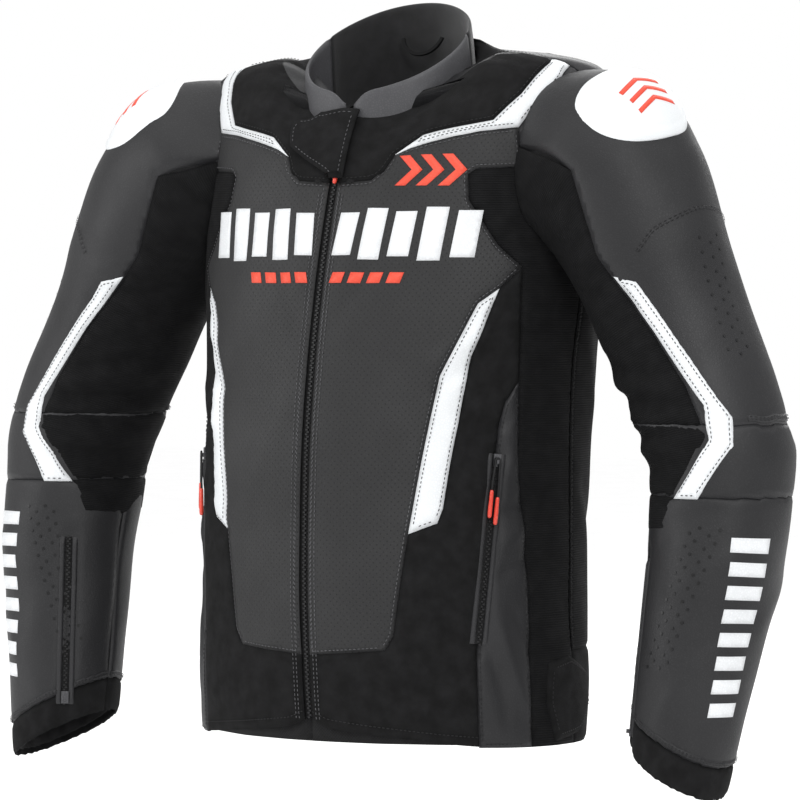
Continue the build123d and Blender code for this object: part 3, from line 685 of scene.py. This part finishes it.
# --- torso panels
GAP = 5
panel_low = [(GAP, -572), (80, -566), (88, -552), (101, -457)]
panel_side = [(101, -457), (122, -310), (148, -243), (163, -229), (178, -209)]
panel_arm = [(178, -209), (160, -188), (149, -169), (134, -146), (131, -122), (137, -117), (173, -115)]
strip_low = [(168, -78), (139, -81), (104, -88), (75, -94), (60, -100)]
strip_high = [(60, -100), (84, -82), (121, -76), (146, -71), (164, -47), (175, -20), (177, -8)]
yoke_low = [(60, -100), (52, -117), (40, -127), (GAP, -129)]
strip_end = [(193, -14), (192, -30), (177, -61), (168, -78)]
waist_outer = [(163, -229), (145, -292), (137, -357), (128, -433), (124, -447), (101, -457)]
side_inner = [(176, -316), (168, -335), (165, -361), (161, -452), (153, -574), (153, -657)]
side_outer = [(186, -658), (184, -561), (179, -434), (176, -395), (176, -316)]
hem_front = [(153, -656), (100, -650), (22, -641), (GAP, -634)]
flank = [(178, -209), (177, -270), (176, -316)]
PANELS = {
    "front_panel": (panel_low + panel_side[1:] + panel_arm[1:] + strip_low + yoke_low[1:],
                    PUNCHED, "perforated_leather"),
    "chest_yoke": (yoke_low[::-1] + strip_high[1:] + [(140, 20), (80, 60), (GAP, 60)], CLOTH, "textile"),
    "chest_strip": (strip_high + strip_end + strip_low[1:-1], WHITE, "white_leather"),
    "shoulder_panel": (strip_end + [(173, -115), (215, -115), (216, -20)], LEATHER, "leather"),
    "waist_strip": (panel_side[:4] + waist_outer[1:-1], WHITE, "white_leather"),
    "side_panel": (side_inner + side_outer[:-1], LEATHER, "leather"),
    "lower_front": (hem_front[::-1] + side_inner[-2::-1] + flank[-2::-1] + waist_outer + panel_low[::-1][1:],
                    CLOTH, "textile"),
}


def in_armhole(p):
    """Well inside the sleeve's tube, where the torso is cut away."""
    s = monotone(station_v, STATIONS, np.linspace(0, 150, 31))
    best = np.full(len(p), 9.0)
    for row in s:
        tilt = math.radians(row[3])
        down = np.array([math.sin(tilt), 0, -math.cos(tilt)])
        q = p - row[:3]
        along = q @ down
        radial = np.linalg.norm(q - along[:, None] * down, axis=1) / row[6]
        best = np.minimum(best, np.where(np.abs(along) < 6, radial, 9))
    return best < 0.86


for side in ("left", "right"):
    for name, (outline, material, slot) in PANELS.items():
        uv_line = on_torso(outline)
        white = name in ("chest_strip", "waist_strip")
        patch(f"{name}_cloth_{side}", torso, uv_line, side, material, [f"{name}_{side}"], cut=in_armhole,
              level=0.7 if white else 0.0, puff=1.4 if white else 0.7)
        if name not in ("shoulder_panel", "lower_front"):
            stitches(f"{name}_sewing_{side}", torso, inset(uv_line, 3.4), side,
                     GREY_THREAD if name == "front_panel" else THREAD, level=0.9 if white else 0.15)
    front_edge = on_torso(panel_arm[::-1] + flank[1:] + side_outer[::-1][1:] + [(300, -658), (300, -115)])
    patch(f"side_stretch_cloth_{side}", torso, front_edge, side, STRETCH, [f"side_stretch_{side}"],
          cut=in_armhole)
    back_edge = on_torso([(110, -190), (110, -570), (300, -570), (300, -190)], back=True)
    patch(f"side_stretch_back_{side}", torso, back_edge, side, STRETCH, [f"side_stretch_{side}"],
          cut=in_armhole)
for name, outline, material, slot in (
        ("back_panel", [(-110, -190), (-110, -570), (110, -570), (110, -190)], LEATHER, "leather"),
        ("back_yoke", [(-300, -190), (-300, 60), (300, 60), (300, -190)], LEATHER, "leather"),
        ("back_hem", [(-300, -570), (-300, -658), (300, -658), (300, -570)], CLOTH, "textile")):
    for side in ("left", "right"):
        half = [(max(x, 0), z) for x, z in outline]
        uv_line = on_torso(half, back=True)
        patch(f"{name}_cloth_{side}", torso, uv_line, side, material, [name], cut=in_armhole)

# Lining just inside, all the way round, from the neck to above the hem
for side in ("left", "right"):
    lining_line = dense([(-1, 3), (math.pi * GIRTH, 3), (math.pi * GIRTH, row_v[-1]), (-1, row_v[-1])], 8.0)
    lining_line[:, 1] = np.minimum(lining_line[:, 1], np.interp(lining_line[:, 0], neck_u, neck_v))
    patch(f"mesh_lining_{side}", torso, lining_line, side, MESH, ["mesh_lining", "back_protector"],
          step=9.0, thick=0.8, level=-5.5, cut=in_armhole, puff=0.0)


# --- sleeves
def at_level(us, levels, wrap=False):
    """Points at these angles, each at the length down the arm given for it; angles past the back can wrap round."""
    read = (us + HALF_ROUND) % (2 * HALF_ROUND) - HALF_ROUND if wrap else us
    return np.stack([us, np.interp(read, arm_u, levels)], 1)


def thinned(line):
    """The line without the points that lie closer than 1.2 millimetres to the one before."""
    return line[np.r_[True, np.linalg.norm(np.diff(line, axis=0), axis=1) > 1.2]]


def ring_between(low, high, step=4.0):
    """Outline of the arm between two lengths given for each angle."""
    us = np.append(np.arange(-HALF_ROUND, HALF_ROUND, step), HALF_ROUND)
    top, bottom = at_level(us, low), at_level(us, high)[::-1]
    sides = []
    for a, b in ((top[-1], bottom[0]), (bottom[-1], top[0])):
        n = max(2, int(abs(b[1] - a[1]) / step))
        sides.append(a + (b - a) * np.linspace(0, 1, n + 1)[1:-1, None])
    return np.concatenate([top, sides[0], bottom, sides[1]])


elbow_top, elbow_low = arm_level(-353.0), arm_level(-417.0)
cuff_seam, cuff_end = arm_level(-640.0, 27.0), arm_level(-672.0, 27.0)
gusset_line = [(232, -120), (258, -196), (278, -224), (318, -270), (352, -318), (368, -353)]
strip_line = [(276, -218), (300, -222), (352, -290), (392, -345), (396, -372), (366, -420),
              (340, -420), (374, -366), (368, -335), (318, -268)]
BEHIND = HALF_ROUND + 45.0
ELBOW_FROM, ELBOW_TO = (0.362, -0.002, -0.353), (0.362, -0.002, -0.417)
for side, turn in (("left", 10), ("right", -10)):
    arm = f"forearm_{side}"
    front_edge = on_sleeve(gusset_line, turn * 0.9, closed=False)
    back_edge = on_sleeve([(232, -120), (262, -200), (318, -353)], turn / 2, front=False, closed=False)
    back_edge[:, 0] = np.where(back_edge[:, 0] > 0, back_edge[:, 0] - 2 * HALF_ROUND, back_edge[:, 0])
    round_back = back_edge + (2 * HALF_ROUND, 0)
    outer = thinned(np.concatenate([
        at_level(np.linspace(back_edge[-1, 0], front_edge[-1, 0], 60), elbow_top), front_edge[::-1][1:],
        at_level(np.linspace(front_edge[0, 0], back_edge[0, 0], 60), arm_start), back_edge]))
    patch(f"upper_sleeve_cloth_{side}", sleeve, outer, side, LEATHER, [f"upper_sleeve_{side}"])
    gusset = thinned(np.concatenate([
        at_level(np.linspace(front_edge[-1, 0], round_back[-1, 0], 40), elbow_top, True), round_back[::-1],
        at_level(np.linspace(round_back[0, 0], front_edge[0, 0], 40), arm_start, True), front_edge]))
    patch(f"sleeve_gusset_cloth_{side}", sleeve, gusset, side, STRETCH, [f"sleeve_gusset_{side}"])
    ring = patch(f"elbow_stretch_cloth_{side}", sleeve, ring_between(elbow_top - 1, elbow_low + 1), side, LEATHER,
                 [f"elbow_stretch_{side}"], body=None, roll=0.6)
    patch(f"forearm_cloth_{side}", sleeve, ring_between(elbow_low, cuff_seam), side, LEATHER,
          [f"forearm_{side}"], body=arm)
    patch(f"cuff_cloth_{side}", sleeve, ring_between(cuff_seam, cuff_end), side, CLOTH, [f"cuff_{side}"],
          body=arm)
    for name, edges, body, nodes in (("sleeve_lining", (arm_start + 2, elbow_top), "root", ()),
                                     ("forearm_lining", (elbow_low, cuff_end - 6), arm, [f"elbow_armour_{side}"])):
        patch(f"{name}_{side}", sleeve, ring_between(*edges), side, MESH, nodes, body=body, step=9.0,
              thick=0.8, level=-5.0, puff=0.0)
    strip_uv = on_sleeve(strip_line, turn)
    strip = patch(f"sleeve_strip_cloth_{side}", sleeve, strip_uv, side, WHITE,
                  [f"sleeve_strip_{side}"], body=None, level=1.6, thick=1.8, puff=1.2, step=4.0)
    sewing = stitches(f"sleeve_strip_sewing_{side}", sleeve, inset(strip_uv, 3.2), side, THREAD,
                      body=None, level=1.8)
    crook = on_sleeve([(371, -353), (375, -366), (358, -392), (340, -417)], turn, closed=False)
    lap_low = at_level(np.linspace(crook[-1, 0], BEHIND, 24)[1:], elbow_low, True)
    lap = np.concatenate([crook, lap_low, at_level(np.linspace(BEHIND, crook[0, 0], 24)[:-1], elbow_top, True)])
    below = on_sleeve([(340, -417), (331, -452)], turn, closed=False)
    lap_end = at_level(np.linspace(below[-1, 0], BEHIND, 24)[1:], arm_level(-452.0), True)
    under = np.concatenate([below, lap_end, lap_low[::-1]])
    inner_elbow, _ = [patch(f"{name}_crook_cloth_{side}", sleeve, line, side, STRETCH, (), body=body,
                            level=0.9, thick=1.0)
                      for name, line, body in (("elbow", lap, None), ("forearm", under, arm))]
    start, end = (tuple(side_of(np.array(place), side)) for place in (ELBOW_FROM, ELBOW_TO))
    for soft in (ring, strip, sewing, inner_elbow):
        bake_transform(soft)


# --- shoulder cups
CUP_CROWN = 1.6


def cup(side):
    """Moulded cup: a fitted quartic of the shoulder's height over the cup's plane, with a rolled rim and a crown.
    Gives back the function that finds a place on it."""
    def outline(r, t):
        """Shield shape: narrow towards the collar and broad and blunt towards the arm."""
        across, along = 47 + 9 * np.sin(t), np.where(np.sin(t) > 0, 60.0, 38.0)
        return (r * across * np.sign(np.cos(t)) * np.abs(np.cos(t)) ** 0.85,
                r * along * np.sign(np.sin(t)) * np.abs(np.sin(t)) ** 0.9)

    centre, n = np.array([248.0, -8, -73]), unit(np.array([0.68, 0, 0.73]))
    ea, eb = np.array([0.0, -1, 0]), np.cross(n, np.array([0.0, -1, 0]))
    eb = eb if eb[2] < 0 else -eb
    tu, tv = np.meshgrid(neck_u[:120], np.linspace(row_v[6], row_v[-1], 120))
    q = np.concatenate([arm_grid[:, :120].reshape(-1, 3), torso(tu, tv).reshape(-1, 3)]) - centre
    a, b, h = q @ ea, q @ eb, q @ n
    near = (np.abs(a) < 66) & (b > -46) & (b < 72) & (h > -70)
    a, b, h = a[near], b[near], h[near]
    key = np.round(a / 8).astype(int) * 1000 + np.round(b / 8).astype(int)
    order = np.lexsort((-h, key))
    top = order[np.r_[True, np.diff(key[order]) != 0]]
    terms = [(i, j) for i in range(5) for j in range(5 - i)]
    basis = np.stack([(a[top] / 60) ** i * (b[top] / 40) ** j for i, j in terms], 1)
    fit = np.linalg.lstsq(basis, h[top], rcond=None)[0]

    def place(x, y, lift):
        """Point over the cup's plane at the fitted height and this much more."""
        height = sum(c * (x / 60) ** i * (y / 40) ** j for c, (i, j) in zip(fit, terms)) + lift
        return centre + x[..., None] * ea + y[..., None] * eb + height[..., None] * n

    turn = np.linspace(0, 2 * np.pi, 97)[:-1]
    rings = np.r_[0.001, np.linspace(0.06, 0.9, 22), 0.93, 0.96, 0.98, 1.0, 1.006, 1.0]
    rim = np.r_[np.full(23, 5.0), 4.8, 4.2, 3.3, 2.0, 0.6, -1.5]
    crown = CUP_CROWN * (1 - np.clip(rings, 0, 1) ** 2)
    groove = -1.3 * np.exp(-((rings - 0.845) / 0.02) ** 2)
    ca, cb = outline(*np.meshgrid(rings, turn, indexing="ij"))
    verts = side_of(place(ca, cb, (rim + crown + groove)[:, None]).reshape(-1, 3), side)
    quads = faced(verts, grid_quads(len(rings), len(turn), True), side_of(n, side))
    ob = mesh_piece(f"shoulder_cup_shell_{side}", verts * 0.001, quads, CUP)
    belongs(ob, "root", [f"shoulder_cup_{side}", f"shoulder_armour_{side}"])
    return lambda x, y, up: side_of(
        place(x, y, 5 + CUP_CROWN * (1 - (x / 52) ** 2 - (y / 55) ** 2) + up), side)


def ribbon(name, left_edge, right_edge, material, body, thick=0.5):
    """Thin print or tape: straight rungs between two edges, thickened half to each side."""
    verts = np.concatenate([left_edge, right_edge])
    k = len(left_edge)
    uv = np.stack([np.r_[np.arange(k), np.arange(k)] * 0.004, np.r_[np.zeros(k), np.full(k, 0.01)]], 1)
    ob = mesh_piece(name, verts * 0.001, grid_quads(2, k), material, uv)
    walled(ob, thick, 0)
    return belongs(ob, body)


for side in ("left", "right"):
    spot = cup(side)
    x = np.linspace(-24, 24, 19)
    for n, shift in enumerate((4.0, 17.0, 30.0)):
        y = shift - 9 * (1 - np.abs(x) / 26)
        ribbon(f"cup_chevron_{n}_{side}", spot(x, y - 2.4, 0.3), spot(x, y + 2.4, 0.3), RED_PRINT, "root")

# --- collar
COLLAR_RADIUS = 84


def collar_ring(psi, t, out):
    """Tilted oval: angle from the front, height from 0 at the neck seam to 1 at the top, and distance outwards."""
    tilt = np.radians(28 + 4.9 * t)
    rx, ry = COLLAR_RADIUS - 2 * t + out, COLLAR_RADIUS + 2 * t + out
    q = -ry * np.cos(psi)
    return np.stack([rx * np.sin(psi), 10 - 8 * t + q * np.cos(tilt), -62 + 66 * t + q * np.sin(tilt)], -1)


def band(name, low, high, material, nodes, puff):
    """Collar band: a closed wall profile carried round the neck, its top rolled over and its ends drawn in."""
    side_t = np.linspace(-0.12, 0.93, 22)
    outer = np.stack([side_t, puff * np.sin(np.clip(side_t, 0, 1) * np.pi) ** 0.6], 1)
    roll = np.linspace(0, np.pi, 9)
    top = np.stack([0.93 + 0.05 * np.sin(roll), -2.0 + 2.0 * np.cos(roll) + 0.4], 1)
    inner = np.stack([side_t[::-1], np.full(22, -4.0)], 1)
    profile = np.concatenate([outer, top[1:-1], inner])
    psi = np.linspace(low, high, max(12, int(abs(high - low) * COLLAR_RADIUS / 4)))
    end = np.minimum(psi - low, high - psi) * COLLAR_RADIUS
    shrink = -1.4 * np.exp(-(end / 2.5) ** 2)
    front_end = np.abs(np.where(psi > math.pi, 2 * math.pi - psi, psi)) * COLLAR_RADIUS
    t = profile[None, :, 0] * (1 - 0.24 * np.exp(-(front_end / 13) ** 2)[:, None])
    o = profile[None, :, 1] + shrink[:, None] * (profile[None, :, 1] > -3)
    o = o + 0.5 * np.sin(psi * 9)[:, None] * np.sin(t * 3)
    p = collar_ring(psi[:, None], t, o)
    m, k = p.shape[:2]
    quads = grid_quads(m, k, True)[:, [0, 3, 2, 1]]
    faces = quads.tolist() + [list(range(k)), list(range((m - 1) * k, m * k))[::-1]]
    uv = np.stack([np.repeat(psi * 0.084, k), np.tile(profile[:, 0] * 0.07, m)], 1)
    belongs(mesh_piece(name, p.reshape(-1, 3) * 0.001, faces, material, uv), "root", nodes)


split_at, front_gap = math.radians(104), 0.062
band("collar_band_leather_left", front_gap, split_at, COLLAR, ["collar_band_left"], 1.4)
band("collar_band_leather_right", -split_at, -front_gap, COLLAR, ["collar_band_right"], 1.4)
band("collar_back_cloth", split_at + 0.01, 2 * math.pi - split_at - 0.01, SOFT, ["collar_back"], 1.0)

# --- zips
def teeth(name, centre_line, normal, across, body, wide=1.3, tall=0.7, deep=0.8):
    """Zip teeth: small blocks at an even pitch, alternately to either side of the line."""
    cube = np.array([(x, y, z) for x in (-1, 1) for y in (-1, 1) for z in (-1, 1)], float)
    faces = np.array([(0, 1, 3, 2), (4, 6, 7, 5), (0, 4, 5, 1), (2, 3, 7, 6), (0, 2, 6, 4), (1, 5, 7, 3)])
    along, count = unit(np.gradient(centre_line, axis=0)), len(centre_line)
    swing = np.where(np.arange(count) % 2, 0.8, -0.8)[:, None]
    mid = centre_line + across * swing
    verts = (mid[:, None] + cube[None, :, :1] * across[:, None] * wide + cube[None, :, 1:2] * along[:, None] * deep
             + cube[None, :, 2:] * normal[:, None] * tall)
    quads = (faces[None] + 8 * np.arange(count)[:, None, None]).reshape(-1, 4)
    quads = quads if np.cross(across[0], along[0]) @ normal[0] > 0 else quads[:, ::-1]
    belongs(mesh_piece(name, verts.reshape(-1, 3) * 0.001, quads, TEETH, smooth=False), body)


zip_low, zip_high = (corner[2] * 1000 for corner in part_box("main_zip"))
zip_v = np.interp(np.linspace(zip_low, zip_high, 262), fine_rows[:, 0], fine_v)
zip_mid, zip_n = torso(0 * zip_v, zip_v), normals(torso, 0 * zip_v, zip_v)
across_x = np.repeat([[1.0, 0, 0]], len(zip_v), 0)
teeth("main_zip_teeth", zip_mid + zip_n * -3.3, zip_n, across_x, "root")
tape_mid = zip_mid - zip_n * 4.4
main_tape = ribbon("main_zip_tape", tape_mid + across_x * 9, tape_mid - across_x * 9, TAPE, "root", 0.8)
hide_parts("main_zip")


def straight_zip(label, start, way, out, length, body, side, low=-0.8):
    """Zip set in a slit: a tape, a row of teeth and along each side a soft lip, whose profile is a part circle."""
    way, out = unit(way), unit(out)
    across = np.cross(way, out)
    t = np.linspace(0, length, int(length / 2.3))
    mid = start + way * t[:, None]
    n, ac = np.repeat([out], len(t), 0), np.repeat([across], len(t), 0)
    teeth(f"{label}_teeth_{side}", side_of(mid + n * low, side), side_of(n, side), side_of(ac, side), body, wide=1.0)
    tape_mid = mid + n * (low - 1)
    tape = ribbon(f"{label}_tape_{side}", side_of(tape_mid + ac * 5, side), side_of(tape_mid - ac * 5, side), TAPE,
                  body, 0.8)
    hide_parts(f"{label}_{side}")
    turn = np.linspace(-0.3, np.pi + 0.3, 9)
    rounding = np.minimum(1, np.minimum(np.arange(len(t)), np.arange(len(t))[::-1]) / 3 + 0.15)
    for k, hand in enumerate((-1, 1)):
        ring_side = hand * (6.2 - 2.8 * np.cos(turn))
        lift = low - 0.6 + 2.2 * np.sin(turn)[None, :] * rounding[:, None]
        p = mid[:, None] + across * ring_side[None, :, None] + out * lift[..., None]
        m, c = p.shape[:2]
        verts = side_of(p.reshape(-1, 3), side)
        quads = faced(verts, grid_quads(m, c), side_of(out, side))
        uv = np.stack([np.repeat(t, c), np.tile(ring_side, m)], 1) * 0.001
        belongs(mesh_piece(f"{label}_lip_{k}_{side}", verts * 0.001, quads, LEATHER, uv), body)


for side in ("left", "right"):
    straight_zip("pocket_zip", *POCKET_RUN[:2], np.array([0.762, -0.647, 0.0165]), POCKET_RUN[2], "root", side)
    start, way = CUFF_RUNS[side]
    nearest = np.argmin(((arm_grid - start - way * 80) ** 2).sum(-1))
    ku, kv = np.unravel_index(nearest, arm_grid.shape[:2])
    out = normals(sleeve, arm_u[ku:ku + 1], arm_v[kv:kv + 1])[0]
    length = (start[2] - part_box(f"cuff_zip_{side}")[0][2] * 1000) / abs(way[2]) - 2
    straight_zip("cuff_zip", start, way, out, length, f"forearm_{side}", side, low=-1.6)

# --- storm flap
flap_line = on_torso([(12, -40), (12, -126), (-2, -126), (-7, -121), (-56, -90), (-62, -70), (-60, -56)])
# Loose flap: the front's surface lifted by 6.6 millimetres and cut off level under the collar
patch("storm_flap_cloth", torso, flap_line, "left", CLOTH, ["storm_flap"], step=3.0, level=6.6, roll=0.6,
      puff=0.4, mirrored=False, cut=lambda p: p[:, 2] > -55)
stitches("storm_flap_sewing", torso, inset(flap_line, 4.0), "left", GREY_THREAD, level=6.9, mirrored=False)

# --- lapped seams, double sewing and the hem tab
def lapped_seam(name, surface, line, side, material=LEATHER, body="root", width=5.0, level=1.0):
    """Raised seam allowance: a narrow band along the line with a row of sewing down each edge."""
    line = open_line(line, 4.0)
    way = unit(np.gradient(line, axis=0))
    n = np.stack([-way[:, 1], way[:, 0]], 1)
    outline = np.concatenate([line + n * width / 2, (line - n * width / 2)[::-1]])
    patch(f"{name}_{side}", surface, outline, side, material, (), body=body, step=3.0, thick=0.8, level=level,
          roll=0.5, puff=0.0)
    stitches(f"{name}_{side}_sewing", surface, [line + n * width * 0.22, line - n * width * 0.22], side, THREAD,
             body=body, level=level + 0.1, d=9.0)


def line_on_torso(points):
    """Open front view line carried to the torso's own two measures: the first half of the way there and back."""
    both_ways = on_torso(points + points[::-1])
    return both_ways[:len(both_ways) // 2]


elbow_us, round_us = np.linspace(-170, 40, 40), np.linspace(-HALF_ROUND + 2, HALF_ROUND - 2, 90)
side_v = np.linspace(90, 440, 40)
for side in ("left", "right"):
    for name, line, body in (
            ("upper_seam", [(-150, 176), (-90, 178), (-30, 176), (20, 172), (60, 176), (78, 188)], "root"),
            ("arm_seam", [(-95, 40), (-92, 120), (-90, 170)], "root"),
            ("elbow_seam", at_level(elbow_us, elbow_top) - (0, 6), "root"),
            ("fore_seam", [(-60, 430), (-62, 520), (-64, 640)], f"forearm_{side}"),
            ("cuff_seam", at_level(round_us, cuff_seam) - (0, 4), f"forearm_{side}")):
        lapped_seam(name, sleeve, line, side, body=body)
    for n, x in enumerate((9.5, 13.0)):
        stitches(f"placket_sewing_{n}_{side}", torso, [line_on_torso([(x, -140), (x, -634)])], side, GREY_THREAD,
                 d=12.0, level=0.2)
    hem_line = line_on_torso([(x, z + 9) for x, z in hem_front[::-1]])
    stitches(f"hem_sewing_{side}", torso, [hem_line], side, THREAD, d=12.0, level=0.3)
    tab = dense([(272, 4), (322, 10), (356, 34), (352, 66), (300, 84), (264, 78), (258, 40)], 4.0)
    patch(f"hem_tab_{side}", torso, tab, side, CLOTH, (), step=4.0, thick=2.4, level=3.2, roll=2.6, puff=1.4)
    stitches(f"hem_tab_sewing_{side}", torso, inset(tab, 6.0), side, THREAD, level=3.9)
    lapped_seam("side_seam", torso, np.stack([side_limit(side_v) * GIRTH, side_v], 1), side, STRETCH)

# --- plain printed bars
def print_patch(name, surface, line, side, material, body="root"):
    """Flat print lying on the leather: a thin panel a fraction of a millimetre proud."""
    patch(name, surface, line, side, material, (), body=body, thick=0.5, level=1.25, roll=0.15, puff=0.0)


for side in ("left", "right"):
    for n in range(5):
        x0, tall = 11 + 28.0 * n, (20, 24, 21, 25, 22)[n]
        bar_line = on_torso([(x0, -178 - tall), (x0 + 20, -178 - tall), (x0 + 24, -178 + tall), (x0 + 4, -178 + tall)])
        print_patch(f"chest_bar_{n}_{side}", torso, bar_line, side, PRINT)
    for n in range(4):
        x0 = 12 + 19.0 * n
        dash_line = on_torso([(x0, -224), (x0 + 13, -224), (x0 + 16, -214), (x0 + 3, -214)])
        print_patch(f"chest_dash_{n}_{side}", torso, dash_line, side, RED_PRINT)
for n in range(3):
    x0 = 66 + 20.0 * n
    chevron_line = on_torso([(x0, -133), (x0 + 10, -133), (x0 + 24, -118), (x0 + 10, -103), (x0, -103),
                             (x0 + 14, -118)])
    print_patch(f"chest_chevron_{n}", torso, chevron_line, "left", RED_PRINT)
for side, low_u in (("left", 18), ("right", 44)):
    for n in range(8):
        v0, wide = 452 + 21.5 * n, 38 - 1.2 * n
        bar_line = dense([(low_u, v0), (low_u + wide, v0 + 5), (low_u + wide, v0 + 18), (low_u, v0 + 13)], 5.0)
        print_patch(f"forearm_bar_{n}_{side}", sleeve, bar_line, side, PRINT, body=f"forearm_{side}")


VENT_RADIUS = 1.5


def vents(name, surface, spots, side, body):
    """Punched vents: a dark eight-sided disc lying on the leather at each place."""
    turn = np.arange(8) * np.pi / 4
    p = skin(surface, spots[:, 0], spots[:, 1], np.full(len(spots), 80.0), side, 0.6)
    a = unit(surface(spots[:, 0] + 0.5, spots[:, 1]) - surface(spots[:, 0] - 0.5, spots[:, 1]))
    b = np.cross(normals(surface, spots[:, 0], spots[:, 1]), a)
    verts = p[:, None] + VENT_RADIUS * (np.cos(turn)[:, None] * a[:, None] + np.sin(turn)[:, None] * b[:, None])
    verts = side_of(verts.reshape(-1, 3), side)
    faces = np.arange(8)[None] + 8 * np.arange(len(spots))[:, None]
    ob = mesh_piece(name, verts * 0.001, faces if side == "left" else faces[:, ::-1], TEETH)
    belongs(ob, body)


for side, top_u, low_u in (("left", 66, 98), ("right", 92, 126)):
    column, along = np.meshgrid(np.arange(4), np.arange(11))
    u = top_u + (low_u - top_u) * along / 10 + 9.0 * column
    v = 452 + 12.5 * along + 6.0 * (column % 2)
    vents(f"forearm_vents_{side}", sleeve, np.stack([u.ravel(), v.ravel()], 1), side, f"forearm_{side}")
    column, along = np.meshgrid(np.arange(3), np.arange(9))
    u, v = 8 + 10.0 * column + along, 196 + 12.5 * along + 6.0 * (column % 2)
    vents(f"upper_vents_{side}", sleeve, np.stack([u.ravel(), v.ravel()], 1), side, "root")

# --- carried-over nodes
sliders = ["main_slider"] + [f"{kind}_slider_{side}" for kind in ("pocket", "cuff") for side in ("left", "right")]
for name in sliders + ["hang_loop"]:
    node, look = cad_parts[name], CLOTH if name == "hang_loop" else METAL
    if not node.material_slots:
        node.data.materials.append(look)
    for place in node.material_slots:
        place.material = look

# --- floor and lights
floor_corners = np.array([(-9, -9, -0.78), (9, -9, -0.78), (9, 9, -0.78), (-9, 9, -0.78)], float)
PALE = finish_kind("pale floor", "f8f8f8", "fdfdfd", "grain", (0.8, 0.9), 0.02, fineness=60.0)
mesh_piece("studio_floor", floor_corners, np.array([[0, 1, 2, 3]]), PALE)


def soft_light(name, place, target, power, size):
    """Square area light of this width that faces the target."""
    lamp = bpy.data.lights.new(name, "AREA")
    lamp.energy = power
    lamp.size = size
    ob = bpy.data.objects.new(name, lamp)
    ob.location = place
    ob.rotation_euler = (Vector(target) - Vector(place)).to_track_quat("-Z", "Y").to_euler()
    scene.collection.objects.link(ob)


soft_light("key", (2.6, -2.6, 1.8), (0, 0, -0.3), 46, 1.2)
soft_light("fill", (-2.4, -2.0, 0.6), (0, 0, -0.35), 26, 1.6)
sky = bpy.data.objects.new("even_light", bpy.data.lights.new("even_light", "SUN"))
sky.data.energy = 1.5
sky.data.angle = 1.6
sky.rotation_euler = (math.radians(12), math.radians(8), 0)
scene.collection.objects.link(sky)
soft_light("back", (-0.8, 2.6, 1.2), (0, 0, -0.3), 34, 1.8)
world = bpy.data.worlds.new("studio")
world.use_nodes = True
world.node_tree.nodes["Background"].inputs[0].default_value = (1, 1, 1, 1)
seen = world.node_tree.nodes.new("ShaderNodeLightPath")
bright = add(world.node_tree, "ShaderNodeMapRange", links={0: seen.outputs["Is Camera Ray"], 3: 0.6, 4: 1.0})
world.node_tree.links.new(bright.outputs[0], world.node_tree.nodes["Background"].inputs[1])
scene.world = world
scene.view_settings.view_transform = "Standard"
